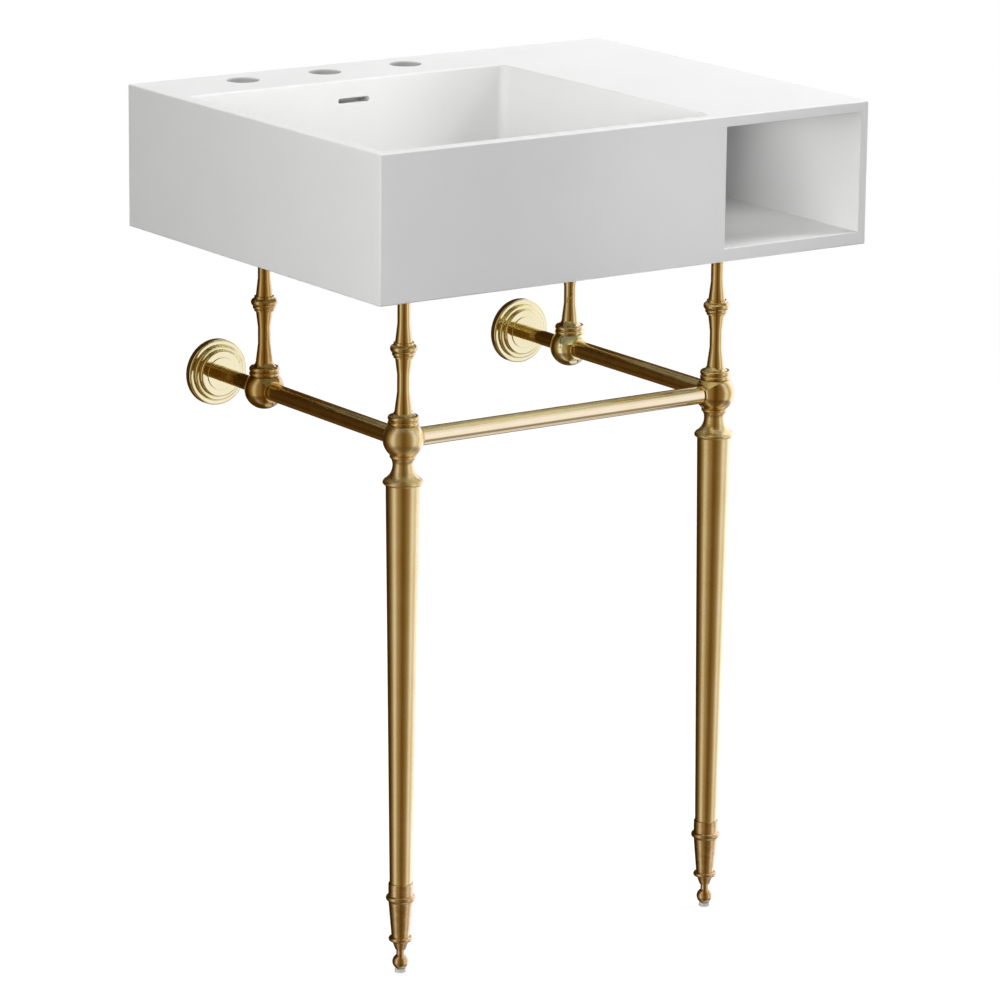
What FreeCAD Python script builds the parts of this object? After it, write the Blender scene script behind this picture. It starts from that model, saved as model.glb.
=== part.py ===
import FreeCAD, Part
import math
import os
from types import SimpleNamespace

import Sketcher

# Console sink: a cast basin with an open shelf at its right, carried by a turned brass
# stand with two legs at the front and two short posts that are tied to the wall.
#
# Frame: millimetres, +Z up, the front looks to -Y and the wall stands at +Y. The origin
# is on the floor, under the middle of the basin.

# Driving sizes in millimetres: name, value, meaning.
DRIVING_SIZES = [
    # Basin
    ("basin_width", 600.0, "basin, side to side"),
    ("basin_reach", 480.0, "basin, front face to wall"),
    ("basin_height", 150.0, "basin, underside to deck"),
    ("deck_level", 885.0, "deck above the floor"),
    ("edge_round", 1.6, "rounding of the basin's outer edges"),
    ("rim_wall", 15.0, "rim at the front and left of the bowl"),
    ("bowl_width", 393.0, "bowl, side to side"),
    ("bowl_reach", 368.0, "bowl, front to back"),
    ("bowl_drop", 108.0, "bowl, deck to the flat of its floor"),
    ("bowl_corner", 9.0, "radius of the bowl's upright corners"),
    ("floor_round", 7.0, "radius between the bowl's walls and floor"),
    ("floor_margin", 0.5, "level strip round the bowl's falling floor"),
    ("floor_fall", 4.0, "fall of the bowl's floor to the drain"),
    ("drain_radius", 22.5, "drain hole"),
    ("drain_seat_radius", 33.0, "flat seat round the drain hole, half its side"),
    ("drain_recess_radius", 75.0, "recess under the drain"),
    ("drain_recess_depth", 10.0, "recess under the drain, depth"),
    ("divider_wall", 10.0, "wall between bowl and shelf"),
    ("shelf_side_wall", 10.0, "wall at the right of the shelf"),
    ("shelf_top_wall", 11.0, "wall over the shelf"),
    ("shelf_floor_wall", 13.5, "wall under the shelf"),
    ("shelf_back_wall", 15.0, "wall behind the shelf"),
    ("shelf_edge_round", 0.8, "rounding of the shelf's mouth"),
    # Holes for the taps, and the overflow
    ("tap_spacing", 101.6, "between neighbouring tap holes"),
    ("tap_radius", 17.5, "tap hole"),
    ("tap_from_wall", 40.0, "tap holes' centres to the wall"),
    ("fitting_offset", 5.5, "tap row and overflow, right of the bowl's middle"),
    ("deck_wall", 20.0, "deck over the tap cavity"),
    ("tap_cavity_width", 372.0, "cavity for the tap nuts, side to side"),
    ("tap_cavity_reach", 53.0, "cavity for the tap nuts, front to back"),
    ("back_wall", 15.0, "wall behind the tap cavity"),
    ("overflow_width", 39.0, "overflow slot, side to side"),
    ("overflow_height", 5.4, "overflow slot, top to bottom"),
    ("overflow_drop", 21.6, "deck to the middle of the overflow slot"),
    ("overflow_wall", 8.5, "bowl's back wall in front of the duct"),
    ("duct_width", 44.0, "overflow duct, side to side"),
    ("duct_thickness", 12.0, "upright part of the overflow duct"),
    ("duct_height", 9.0, "level part of the overflow duct"),
    ("duct_run_width", 36.0, "level part of the overflow duct, side to side"),
    ("duct_cover", 7.0, "basin between the duct and the drain recess"),
    # Stand
    ("post_spacing", 392.0, "left posts to right posts"),
    ("leg_from_front", 115.0, "front legs' axes to the basin's front"),
    ("post_from_wall", 100.0, "rear posts' axes to the wall"),
    ("joint_level", 567.0, "ball joints' centres above the floor"),
    ("fit_gap", 0.1, "radial gap of a part in its socket"),
    ("seat_gap", 0.3, "gap at the end of a socket"),
    # Plates under the basin
    ("pad_thickness", 2.0, "rubber pad between basin and plate"),
    ("pad_radius", 27.0, "rubber pad"),
    ("plate_thickness", 4.0, "mounting plate"),
    ("plate_radius", 28.0, "mounting plate"),
    ("plate_screw_circle", 20.0, "screws' distance from the post's axis"),
    ("plate_screw_radius", 2.5, "plate screw's shank"),
    ("plate_screw_head", 4.8, "plate screw's countersunk head"),
    ("plate_screw_length", 14.0, "plate screw, tip to head"),
    ("insert_radius", 4.0, "threaded insert in the basin"),
    ("insert_length", 9.5, "threaded insert in the basin"),
    # Turned posts
    ("rod_radius", 3.0, "threaded rod through a post"),
    ("rod_depth", 8.0, "rear rod's end below the ball's centre"),
    ("neck_rod_depth", 42.0, "front rod's end below the ball's centre"),
    ("collar_height", 4.0, "collar under the mounting plate"),
    ("collar_radius", 11.5, "collar under the mounting plate"),
    ("collar_swell", 1.7, "swell of the collar's edge"),
    ("spindle_end_radius", 8.8, "spindle at its thick ends"),
    ("spindle_waist_radius", 6.3, "spindle at its waist"),
    ("knop_level", 651.0, "underside of the knop above the floor"),
    ("knop_height", 16.0, "knop"),
    ("knop_radius", 13.9, "knop's large bead"),
    ("knop_bead_radius", 12.0, "knop's small bead"),
    ("knop_fillet_radius", 10.4, "knop's end bands"),
    ("knop_band_low", 2.0, "knop's lower end band, height"),
    ("knop_bead_low", 2.0, "knop's small bead, below its middle"),
    ("knop_bead_high", 1.6, "knop's small bead, above its middle"),
    ("knop_band_high", 2.5, "knop's upper end band, height"),
    ("knop_groove", 0.4, "groove between the knop's beads"),
    ("flare_height", 7.0, "flare at the foot of the lower spindle"),
    ("flare_radius", 12.75, "flare at the foot of the lower spindle"),
    ("cushion_radius", 16.0, "two rings that sit on the ball"),
    ("cushion_waist", 14.6, "groove between these rings"),
    ("cushion_height", 10.2, "two rings that sit on the ball, together"),
    ("ball_radius", 21.0, "ball joint"),
    ("ball_top_flat", 15.3, "ball's top seat, radius"),
    ("ball_bottom_flat", 13.4, "front ball's bottom seat, radius"),
    ("lip_radius", 11.2, "lip round a rail's socket"),
    ("lip_reach", 19.0, "ball's centre to a lip's face"),
    ("socket_web", 0.7, "metal between a socket's floor and the next socket"),
    ("grub_radius", 2.0, "grub screw under a ball"),
    ("grub_from_axis", 16.2, "grub screw's axis to the ball's axis"),
    ("grub_length", 3.0, "grub screw"),
    # Rails and wall arms
    ("rail_radius", 9.5, "rails"),
    ("tube_wall", 1.5, "wall of the rails and arms"),
    ("arm_radius", 8.0, "wall arms"),
    ("wall_plate_radius", 27.0, "wall plate"),
    ("wall_plate_thickness", 3.0, "wall plate"),
    ("wall_screw_radius", 2.75, "hole for a wall screw"),
    ("wall_screw_spacing", 38.0, "between a plate's two wall screw holes"),
    ("spigot_length", 14.0, "wall plate's spigot in the arm"),
    ("flange_radius", 35.5, "wall flange"),
    ("flange_rim", 8.0, "wall flange's rim, from the wall"),
    ("flange_step", 3.5, "height of each of the flange's steps"),
    ("flange_ring_one", 30.0, "flange's first step, radius"),
    ("flange_ring_two", 25.2, "flange's second step, radius"),
    ("flange_ring_three", 17.5, "flange's middle disc, radius"),
    ("flange_disc", 1.0, "height of the flange's middle disc"),
    ("flange_wall", 1.8, "flange's sheet"),
    ("flange_soft", 1.8, "rounding of the flange's steps"),
    # Legs
    ("neck_ring_radius", 13.8, "ring between ball and neck"),
    ("neck_ring_height", 3.4, "ring between ball and neck"),
    ("neck_waist_radius", 10.8, "neck at its waist"),
    ("neck_waist_level", 540.5, "neck's waist above the floor"),
    ("neck_rim_radius", 20.6, "neck's rim over the leg tube"),
    ("neck_rim_height", 5.0, "neck's rim over the leg tube"),
    ("neck_swell", 1.0, "swell of the neck's ring and rim"),
    ("tube_top_level", 520.0, "leg tube's top above the floor"),
    ("tube_top_radius", 17.7, "leg tube at its top"),
    ("tube_foot_radius", 11.5, "leg tube at its foot"),
    ("leg_tube_wall", 1.6, "leg tube"),
    ("neck_spigot_length", 15.0, "neck's spigot in the leg tube"),
    ("sleeve_top_level", 97.0, "ferrule's top above the floor"),
    ("sleeve_depth", 12.0, "ferrule's socket for the leg tube"),
    ("sleeve_radius", 12.9, "ferrule round the leg tube"),
    ("sleeve_chamfer", 0.5, "ferrule's chamfers"),
    ("ferrule_step", 2.0, "step between the ferrule's taper and its large bead"),
    ("bead_radius", 15.5, "ferrule's large bead"),
    ("bead_height", 6.4, "ferrule's large bead"),
    ("bead_level", 77.5, "underside of the ferrule's large bead"),
    ("cone_top_radius", 12.6, "ferrule's taper at its top"),
    ("cone_foot_radius", 9.4, "ferrule's taper at its foot"),
    ("toe_bead_radius", 12.4, "ferrule's small bead"),
    ("toe_bead_height", 5.0, "ferrule's small bead"),
    ("toe_bead_level", 33.8, "underside of the ferrule's small bead"),
    ("toe_top_radius", 8.8, "ferrule's toe under the small bead"),
    ("toe_foot_radius", 5.4, "ferrule's toe at its foot"),
    ("toe_level", 24.6, "ferrule's foot above the floor"),
    # Levelling feet
    ("foot_travel", 10.0, "levelling foot, whole travel"),
    ("stud_radius", 3.5, "levelling foot's threaded stud"),
    ("stud_length", 34.0, "levelling foot's threaded stud"),
    ("stud_gap", 0.06, "radial gap of the stud in the ferrule"),
    ("foot_neck_radius", 4.3, "levelling foot's neck"),
    ("foot_ball_radius", 8.4, "levelling foot's ball"),
    ("foot_ball_level", 11.2, "levelling foot's ball centre above the floor"),
    ("glide_radius", 5.8, "plastic glide under the foot"),
    ("glide_height", 3.6, "plastic glide under the foot"),
]


class Size:
    """A length, held both as a number and as the sheet expression that gives it."""

    def __init__(self, value, text):
        self.value = value
        self.text = text

    @staticmethod
    def of(other):
        return other if isinstance(other, Size) else Size(float(other), repr(float(other)))

    def __add__(self, other):
        other = Size.of(other)
        return Size(self.value + other.value, f"({self.text} + {other.text})")

    def __radd__(self, other):
        return Size.of(other) + self

    def __sub__(self, other):
        other = Size.of(other)
        return Size(self.value - other.value, f"({self.text} - {other.text})")

    def __rsub__(self, other):
        return Size.of(other) - self

    def __mul__(self, other):
        other = Size.of(other)
        return Size(self.value * other.value, f"({self.text} * {other.text})")

    def __rmul__(self, other):
        return Size.of(other) * self

    def __truediv__(self, other):
        other = Size.of(other)
        return Size(self.value / other.value, f"({self.text} / {other.text})")

    def __neg__(self):
        return Size(-self.value, f"(0 - {self.text})")


def root(size):
    """Square root of a Size."""
    return Size(math.sqrt(size.value), f"sqrt({size.text})")


def least(*sizes):
    """Smallest of several Sizes."""
    return Size(min(size.value for size in sizes), f"min({'; '.join(size.text for size in sizes)})")


def sphere_height(radius, flat):
    """Height above a ball's centre at which a flat of this radius cuts it."""
    return root(radius * radius - flat * flat)


def bow(across, along):
    """Radius of an arc that ends square to its widest or narrowest point."""
    return (across * across + along * along) / (2 * across)


doc = FreeCAD.newDocument("ConsoleSink")
sheet = doc.addObject("Spreadsheet::Sheet", "Sizes")


def fill_sheet():
    """Put the driving sizes into the sheet, and return them as Sizes by name."""
    sizes = {}
    for row, (name, value, meaning) in enumerate(DRIVING_SIZES, start=1):
        sheet.set(f"A{row}", name)
        sheet.set(f"B{row}", str(value))
        sheet.set(f"C{row}", meaning)
        sheet.setAlias(f"B{row}", name)
        sizes[name] = Size(value, f"Sizes.{name}")
    return SimpleNamespace(**sizes)


dim = fill_sheet()
doc.recompute()

ZERO = Size.of(0)
LEFT, RIGHT = -1, 1

# Places that several parts share
basin_top = dim.deck_level
basin_base = dim.deck_level - dim.basin_height
basin_left = -dim.basin_width / 2
basin_right = dim.basin_width / 2
basin_front = -dim.basin_reach / 2
wall_plane = dim.basin_reach / 2
bowl_left = basin_left + dim.rim_wall
bowl_right = bowl_left + dim.bowl_width
bowl_front = basin_front + dim.rim_wall
bowl_back = bowl_front + dim.bowl_reach
bowl_floor = basin_top - dim.bowl_drop
drain_x = (bowl_left + bowl_right) / 2
drain_y = (bowl_front + bowl_back) / 2
drain_seat_level = bowl_floor - dim.floor_fall
fitting_x = drain_x + dim.fitting_offset
post_x = dim.post_spacing / 2
leg_y = basin_front + dim.leg_from_front
post_y = wall_plane - dim.post_from_wall
plate_top = basin_base - dim.pad_thickness
plate_base = plate_top - dim.plate_thickness
knop_top = dim.knop_level + dim.knop_height
ball_seat = dim.joint_level + sphere_height(dim.ball_radius, dim.ball_top_flat)
cushion_top = ball_seat + dim.cushion_height
ball_underside = dim.joint_level - sphere_height(dim.ball_radius, dim.ball_bottom_flat)
rod_bore = dim.rod_radius + dim.fit_gap
rail_socket = dim.rail_radius + dim.fit_gap
arm_socket = dim.arm_radius + dim.fit_gap
socket_floor = rail_socket + dim.socket_web
rail_end = socket_floor + dim.seat_gap
tube_foot_level = dim.sleeve_top_level - dim.sleeve_depth

# Each post: name, side along X, Y of its axis
CORNERS = [
    ("front_left", LEFT, leg_y),
    ("front_right", RIGHT, leg_y),
    ("rear_left", LEFT, post_y),
    ("rear_right", RIGHT, post_y),
]
FRONT_CORNERS = CORNERS[:2]
REAR_CORNERS = CORNERS[2:]


# ---- Helpers -------------------------------------------------------------------------

def new_body(name):
    """An empty body whose label names the node."""
    body = doc.addObject("PartDesign::Body", name)
    body.Label = name
    return body


def place(thing, x=ZERO, y=ZERO, z=ZERO):
    """Bind a body's place to the sheet."""
    thing.setExpression("Placement.Base.x", x.text)
    thing.setExpression("Placement.Base.y", y.text)
    thing.setExpression("Placement.Base.z", z.text)


def origin_feature(body, role):
    """The body's own origin plane or axis with this role."""
    return [item for item in body.Origin.OriginFeatures if item.Role == role][0]


def new_sketch(body, name, plane="XZ_Plane", offset=None):
    """A sketch on one of the body's origin planes, shifted by three Sizes if given."""
    sketch = body.newObject("Sketcher::SketchObject", f"{body.Name}_{name}")
    sketch.AttachmentSupport = [(origin_feature(body, plane), "")]
    sketch.MapMode = "FlatFace"
    for letter, size in zip("xyz", offset or ()):
        sketch.setExpression(f".AttachmentOffset.Base.{letter}", size.text)
    return sketch


def bound(sketch, kind, *where, size):
    """Add a dimension whose value the sheet gives."""
    index = sketch.addConstraint(Sketcher.Constraint(kind, *where, size.value))
    sketch.setExpression(f"Constraints[{index}]", size.text)


def fix_point(sketch, item, end, across, up):
    """Dimension one point of a sketch from the sketch's origin."""
    # A sketch numbers its horizontal axis -1 and its vertical axis -2.
    for kind, size, axis in (("DistanceX", across, -2), ("DistanceY", up, -1)):
        if size is ZERO:
            sketch.addConstraint(Sketcher.Constraint("PointOnObject", item, end, axis))
        else:
            bound(sketch, kind, -1, 1, item, end, size=size)


def add_arc(sketch, start, end, radius):
    """Add an arc between two points; a negative radius puts its centre to the right."""
    span = end - start
    reach = math.sqrt(max(radius ** 2 - (span.Length / 2) ** 2, 0.0))
    side = FreeCAD.Vector(-span.y, span.x, 0).normalize() * math.copysign(reach, radius)
    centre = (start + end) / 2 + side
    first, last = (start, end) if radius > 0 else (end, start)
    angles = [math.atan2(point.y - centre.y, point.x - centre.x) for point in (first, last)]
    if angles[1] < angles[0]:
        angles[1] += 2 * math.pi
    circle = Part.Circle(centre, FreeCAD.Vector(0, 0, 1), abs(radius))
    return sketch.addGeometry(Part.ArcOfCircle(circle, *angles))


def outline(sketch, points):
    """Draw a closed outline. Each point is (across, up), or (across, up, radius) where the
    stretch to the next point is an arc, whose centre lies to the left of the way along it,
    or to the right where the radius is a negative Size."""
    points = [[Size.of(number) for number in point] for point in points]
    places = [FreeCAD.Vector(point[0].value, point[1].value, 0) for point in points]
    ends = []
    for number, point in enumerate(points):
        start, end = places[number], places[(number + 1) % len(points)]
        if len(point) == 2:
            item = sketch.addGeometry(Part.LineSegment(start, end))
            ends.append((item, 1, 2))
            continue
        item = add_arc(sketch, start, end, point[2].value)
        ends.append((item, 1, 2) if point[2].value > 0 else (item, 2, 1))
    for number, (item, first, last) in enumerate(ends):
        after, start = ends[(number + 1) % len(ends)][:2]
        sketch.addConstraint(Sketcher.Constraint("Coincident", item, last, after, start))
    for point, (item, first, last) in zip(points, ends):
        fix_point(sketch, item, first, point[0], point[1])
        if len(point) == 3:
            radius = point[2] if point[2].value > 0 else -point[2]
            bound(sketch, "Radius", item, size=radius)


def rectangle(sketch, left, low, right, high, corner=None):
    """Draw a rectangle, with rounded corners if a radius is given."""
    if corner is None:
        outline(sketch, [(left, low), (right, low), (right, high), (left, high)])
        return
    outline(sketch, [
        (left + corner, low), (right - corner, low, corner),
        (right, low + corner), (right, high - corner, corner),
        (right - corner, high), (left + corner, high, corner),
        (left, high - corner), (left, low + corner, corner),
    ])


def circle(sketch, across, up, radius):
    """Draw a circle."""
    centre = FreeCAD.Vector(across.value, up.value, 0)
    item = sketch.addGeometry(Part.Circle(centre, FreeCAD.Vector(0, 0, 1), radius.value))
    fix_point(sketch, item, 3, across, up)
    bound(sketch, "Radius", item, size=radius)


def extrude(body, kind, sketch, length, reverse=False):
    """Pad or Pocket a sketch by a Size."""
    feature = body.newObject(f"PartDesign::{kind}", f"{sketch.Name}_{kind}")
    feature.Profile = sketch
    feature.Reversed = reverse
    feature.setExpression("Length", length.text)
    return feature


def revolve(body, kind, sketch, axis="V_Axis"):
    """Turn a sketch all the way round, as a Revolution or a Groove."""
    feature = body.newObject(f"PartDesign::{kind}", f"{sketch.Name}_{kind}")
    feature.Profile = sketch
    feature.ReferenceAxis = (sketch, [axis])
    feature.Angle = 360
    return feature


def cut(body, feature, volume_before):
    """Check that a cut has removed material."""
    doc.recompute()
    if not body.Shape.Volume < volume_before - 1:
        raise RuntimeError(f"{feature.Name} cuts nothing")
    return feature


def round_edges(body, name, radius, chosen):
    """Fillet the body's edges for which chosen(edge) is true."""
    doc.recompute()
    base = body.Tip
    edges = enumerate(base.Shape.Edges, start=1)
    names = [f"Edge{number}" for number, edge in edges if chosen(edge)]
    if not names:
        raise RuntimeError(f"{body.Name}_{name} finds no edge")
    fillet = body.newObject("PartDesign::Fillet", f"{body.Name}_{name}")
    fillet.Base = (base, names)
    fillet.setExpression("Radius", radius.text)
    return fillet


def turned(name, points, plane="XZ_Plane"):
    """A body turned about its own upright axis (or the Y axis on the XY plane)."""
    body = new_body(name)
    sketch = new_sketch(body, "outline", plane)
    outline(sketch, points)
    revolve(body, "Revolution", sketch)
    return body


def tube(name, plane, start, length, radius, bore):
    """A straight tube that starts at a distance from the body's origin plane."""
    body = new_body(name)
    sketch = new_sketch(body, "section", plane, (ZERO, ZERO, start))
    circle(sketch, ZERO, ZERO, radius)
    circle(sketch, ZERO, ZERO, bore)
    extrude(body, "Pad", sketch, length)
    return body


def pattern(body, original, steps):
    """Repeat a feature by steps: a count about an axis, or a count and Size along one."""
    repeat = body.newObject("PartDesign::MultiTransform", f"{original.Name}_copies")
    repeat.Originals = [original]
    moves = []
    for number, (reference, count, length) in enumerate(steps):
        kind = "PolarPattern" if length is None else "LinearPattern"
        move = body.newObject(f"PartDesign::{kind}", f"{original.Name}_step_{number}")
        move.Originals = []
        if length is None:
            move.Axis = reference
            move.Angle = 360
        else:
            move.Direction = reference
            move.setExpression("Length", length.text)
        move.Occurrences = count
        moves.append(move)
    repeat.Transformations = moves
    body.Tip = repeat
    return repeat


def four_posts(body):
    """Pattern steps from the front left post to all four."""
    return [
        ((origin_feature(body, "X_Axis"), [""]), 2, dim.post_spacing),
        ((origin_feature(body, "Y_Axis"), [""]), 2, post_y - leg_y),
    ]


# ---- Basin ---------------------------------------------------------------------------

SCREWS_PER_PLATE = 3


def on_plane(edge, axis, level):
    """Whether a whole edge lies on the plane axis = level."""
    box = edge.BoundBox
    low, high = getattr(box, f"{axis}Min"), getattr(box, f"{axis}Max")
    return abs(low - level.value) < 0.01 and abs(high - level.value) < 0.01


def inside(edge, left, right, front, back):
    """Whether an edge's middle lies between these places in plan."""
    middle = edge.BoundBox.Center
    return left.value < middle.x < right.value and front.value < middle.y < back.value


def basin():
    """One casting: bowl at the left, open shelf at the right, deck with tap holes."""
    body = new_body("basin")
    block = new_sketch(body, "block", "XY_Plane", (ZERO, ZERO, basin_base))
    rectangle(block, basin_left, basin_front, basin_right, wall_plane)
    extrude(body, "Pad", block, dim.basin_height)
    round_edges(body, "edges", dim.edge_round, lambda edge: True)

    bowl = new_sketch(body, "bowl", "XY_Plane", (ZERO, ZERO, basin_top))
    rectangle(bowl, bowl_left, bowl_front, bowl_right, bowl_back, dim.bowl_corner)
    pocket = extrude(body, "Pocket", bowl, dim.bowl_drop)
    cut(body, pocket, body.Shape.Volume)
    around = dim.edge_round
    in_bowl = (bowl_left - around, bowl_right + around, bowl_front - around, bowl_back + around)
    round_edges(body, "floor_edges", dim.floor_round,
                lambda edge: on_plane(edge, "Z", bowl_floor) and inside(edge, *in_bowl))
    round_edges(body, "rim_edges", dim.edge_round,
                lambda edge: on_plane(edge, "Z", basin_top) and inside(edge, *in_bowl))
    slope_floor(body)
    cut_drain(body)
    cut_shelf(body)
    cut_deck(body)
    cut_overflow(body)
    cut_insert_holes(body)
    return body


def slope_floor(body):
    """Four facets that fall from the floor's edge to the drain's seat."""
    before = body.Shape.Volume
    edge = dim.floor_round + dim.floor_margin
    upper = new_sketch(body, "floor_edge", "XY_Plane", (ZERO, ZERO, bowl_floor))
    rectangle(upper, bowl_left + edge, bowl_front + edge, bowl_right - edge, bowl_back - edge,
              dim.bowl_corner - dim.floor_round)
    lower = new_sketch(body, "floor_drain", "XY_Plane", (ZERO, ZERO, drain_seat_level))
    reach = dim.drain_seat_radius
    rectangle(lower, drain_x - reach, drain_y - reach, drain_x + reach, drain_y + reach,
              dim.bowl_corner)
    loft = body.newObject("PartDesign::SubtractiveLoft", "basin_floor_fall")
    loft.Profile = upper
    loft.Sections = [lower]
    loft.Ruled = True
    cut(body, loft, before)


def cut_drain(body):
    """The drain hole, and the recess under it for the waste's nut."""
    before = body.Shape.Volume
    hole = new_sketch(body, "drain", "XY_Plane", (ZERO, ZERO, basin_top))
    circle(hole, drain_x, drain_y, dim.drain_radius)
    pocket = extrude(body, "Pocket", hole, dim.basin_height)
    cut(body, pocket, before)
    before = body.Shape.Volume
    recess = new_sketch(body, "drain_recess", "XY_Plane", (ZERO, ZERO, basin_base))
    circle(recess, drain_x, drain_y, dim.drain_recess_radius)
    pocket = extrude(body, "Pocket", recess, dim.drain_recess_depth, reverse=True)
    cut(body, pocket, before)


def cut_shelf(body):
    """The shelf, open at the front."""
    left = bowl_right + dim.divider_wall
    right = basin_right - dim.shelf_side_wall
    before = body.Shape.Volume
    mouth = new_sketch(body, "shelf", "XZ_Plane", (ZERO, ZERO, -basin_front))
    rectangle(mouth, left, basin_base + dim.shelf_floor_wall, right, basin_top - dim.shelf_top_wall)
    pocket = extrude(body, "Pocket", mouth, dim.basin_reach - dim.shelf_back_wall)
    cut(body, pocket, before)
    round_edges(body, "shelf_edges", dim.shelf_edge_round,
                lambda edge: on_plane(edge, "Y", basin_front)
                and edge.BoundBox.XMin > (left - dim.seat_gap).value
                and edge.BoundBox.XMax < (right + dim.seat_gap).value)


def cut_deck(body):
    """Three tap holes, over an open cavity for their nuts."""
    before = body.Shape.Volume
    taps = new_sketch(body, "taps", "XY_Plane", (ZERO, ZERO, basin_top))
    tap_y = wall_plane - dim.tap_from_wall
    for step in (-1, 0, 1):
        circle(taps, fitting_x + step * dim.tap_spacing, tap_y, dim.tap_radius)
    pocket = extrude(body, "Pocket", taps, dim.basin_height / 2)
    cut(body, pocket, before)
    before = body.Shape.Volume
    cavity = new_sketch(body, "tap_cavity", "XY_Plane", (ZERO, ZERO, basin_base))
    half = dim.tap_cavity_width / 2
    back = wall_plane - dim.back_wall
    front = back - dim.tap_cavity_reach
    rectangle(cavity, drain_x - half, front, drain_x + half, back, dim.bowl_corner)
    pocket = extrude(body, "Pocket", cavity, dim.basin_height - dim.deck_wall, reverse=True)
    cut(body, pocket, before)


def cut_overflow(body):
    """A slot in the bowl's back wall, and the cast duct from it to the drain hole."""
    slot_level = basin_top - dim.overflow_drop
    duct_top = slot_level + dim.overflow_height
    duct_base = basin_base + dim.drain_recess_depth + dim.duct_cover
    duct_front = bowl_back + dim.overflow_wall
    duct_back = duct_front + dim.duct_thickness
    half = dim.duct_width / 2
    run_half = dim.duct_run_width / 2
    into_duct = dim.duct_thickness / 4
    before = body.Shape.Volume
    upright = new_sketch(body, "duct", "XY_Plane", (ZERO, ZERO, duct_top))
    rectangle(upright, fitting_x - half, duct_front, fitting_x + half, duct_back)
    pocket = extrude(body, "Pocket", upright, duct_top - duct_base)
    cut(body, pocket, before)
    before = body.Shape.Volume
    level = new_sketch(body, "duct_run", "XY_Plane", (ZERO, ZERO, duct_base + dim.duct_height))
    rectangle(level, drain_x - run_half, drain_y, drain_x + run_half, duct_front + into_duct)
    pocket = extrude(body, "Pocket", level, dim.duct_height)
    cut(body, pocket, before)
    before = body.Shape.Volume
    slot = new_sketch(body, "overflow", "XZ_Plane", (ZERO, ZERO, -(bowl_back - into_duct)))
    end = dim.overflow_height / 2
    flat = dim.overflow_width / 2 - end
    outline(slot, [
        (fitting_x - flat, slot_level - end), (fitting_x + flat, slot_level - end, end),
        (fitting_x + flat + end, slot_level, end),
        (fitting_x + flat, slot_level + end), (fitting_x - flat, slot_level + end, end),
        (fitting_x - flat - end, slot_level, end),
    ])
    pocket = extrude(body, "Pocket", slot, dim.overflow_wall + 2 * into_duct)
    cut(body, pocket, before)


def cut_insert_holes(body):
    """Blind holes in the underside for the threaded inserts."""
    before = body.Shape.Volume
    hole = new_sketch(body, "insert_holes", "XY_Plane", (-post_x, leg_y, basin_base))
    circle(hole, dim.plate_screw_circle, ZERO, dim.insert_radius + dim.fit_gap)
    pocket = extrude(body, "Pocket", hole, dim.insert_length + dim.seat_gap, reverse=True)
    pattern(body, pocket, [((hole, ["N_Axis"]), SCREWS_PER_PLATE, None)] + four_posts(body))
    cut(body, pocket, before)


# ---- Fixing of the posts under the basin -----------------------------------------------

def screw_places(body, sketch):
    """Pattern steps from the first screw place to all of them."""
    return [((sketch, ["V_Axis"]), SCREWS_PER_PLATE, None)] + four_posts(body)


def fastener_group(name, points):
    """One turned fastener beside the front left post, repeated at every screw place."""
    body = new_body(name)
    body.AllowCompound = True
    sketch = new_sketch(body, "outline")
    outline(sketch, [(dim.plate_screw_circle + point[0], point[1]) for point in points])
    axis = sketch.addGeometry(
        Part.LineSegment(FreeCAD.Vector(dim.plate_screw_circle.value, 0, 0),
                         FreeCAD.Vector(dim.plate_screw_circle.value, plate_base.value, 0)), True)
    fix_point(sketch, axis, 1, dim.plate_screw_circle, ZERO)
    fix_point(sketch, axis, 2, dim.plate_screw_circle, plate_base)
    feature = revolve(body, "Revolution", sketch, "Axis0")
    pattern(body, feature, screw_places(body, sketch))
    place(body, -post_x, leg_y)
    return body


def basin_inserts():
    """Threaded brass inserts cast into the basin's underside."""
    bore = dim.plate_screw_radius + dim.fit_gap
    top = basin_base + dim.insert_length
    return fastener_group("basin_inserts", [
        (bore, basin_base), (dim.insert_radius, basin_base), (dim.insert_radius, top), (bore, top),
    ])


def plate_screws():
    """Countersunk screws that hold the plates to the inserts."""
    sink = dim.plate_screw_head - dim.plate_screw_radius
    tip = plate_base + dim.plate_screw_length
    return fastener_group("plate_screws", [
        (ZERO, plate_base), (dim.plate_screw_head, plate_base),
        (dim.plate_screw_radius, plate_base + sink), (dim.plate_screw_radius, tip), (ZERO, tip),
    ])


def basin_pads():
    """Rubber pads between the basin and the plates, one at each post."""
    body = new_body("basin_pads")
    body.AllowCompound = True
    sketch = new_sketch(body, "section", "XY_Plane", (ZERO, ZERO, plate_top))
    circle(sketch, ZERO, ZERO, dim.pad_radius)
    circle(sketch, ZERO, ZERO, rod_bore)
    for number in range(SCREWS_PER_PLATE):
        turn = 2 * math.pi * number / SCREWS_PER_PLATE
        across = dim.plate_screw_circle * math.cos(turn)
        along = dim.plate_screw_circle * math.sin(turn)
        circle(sketch, across, along, dim.plate_screw_radius + dim.seat_gap)
    pad = extrude(body, "Pad", sketch, dim.pad_thickness)
    pattern(body, pad, four_posts(body))
    place(body, -post_x, leg_y)
    return body


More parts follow.
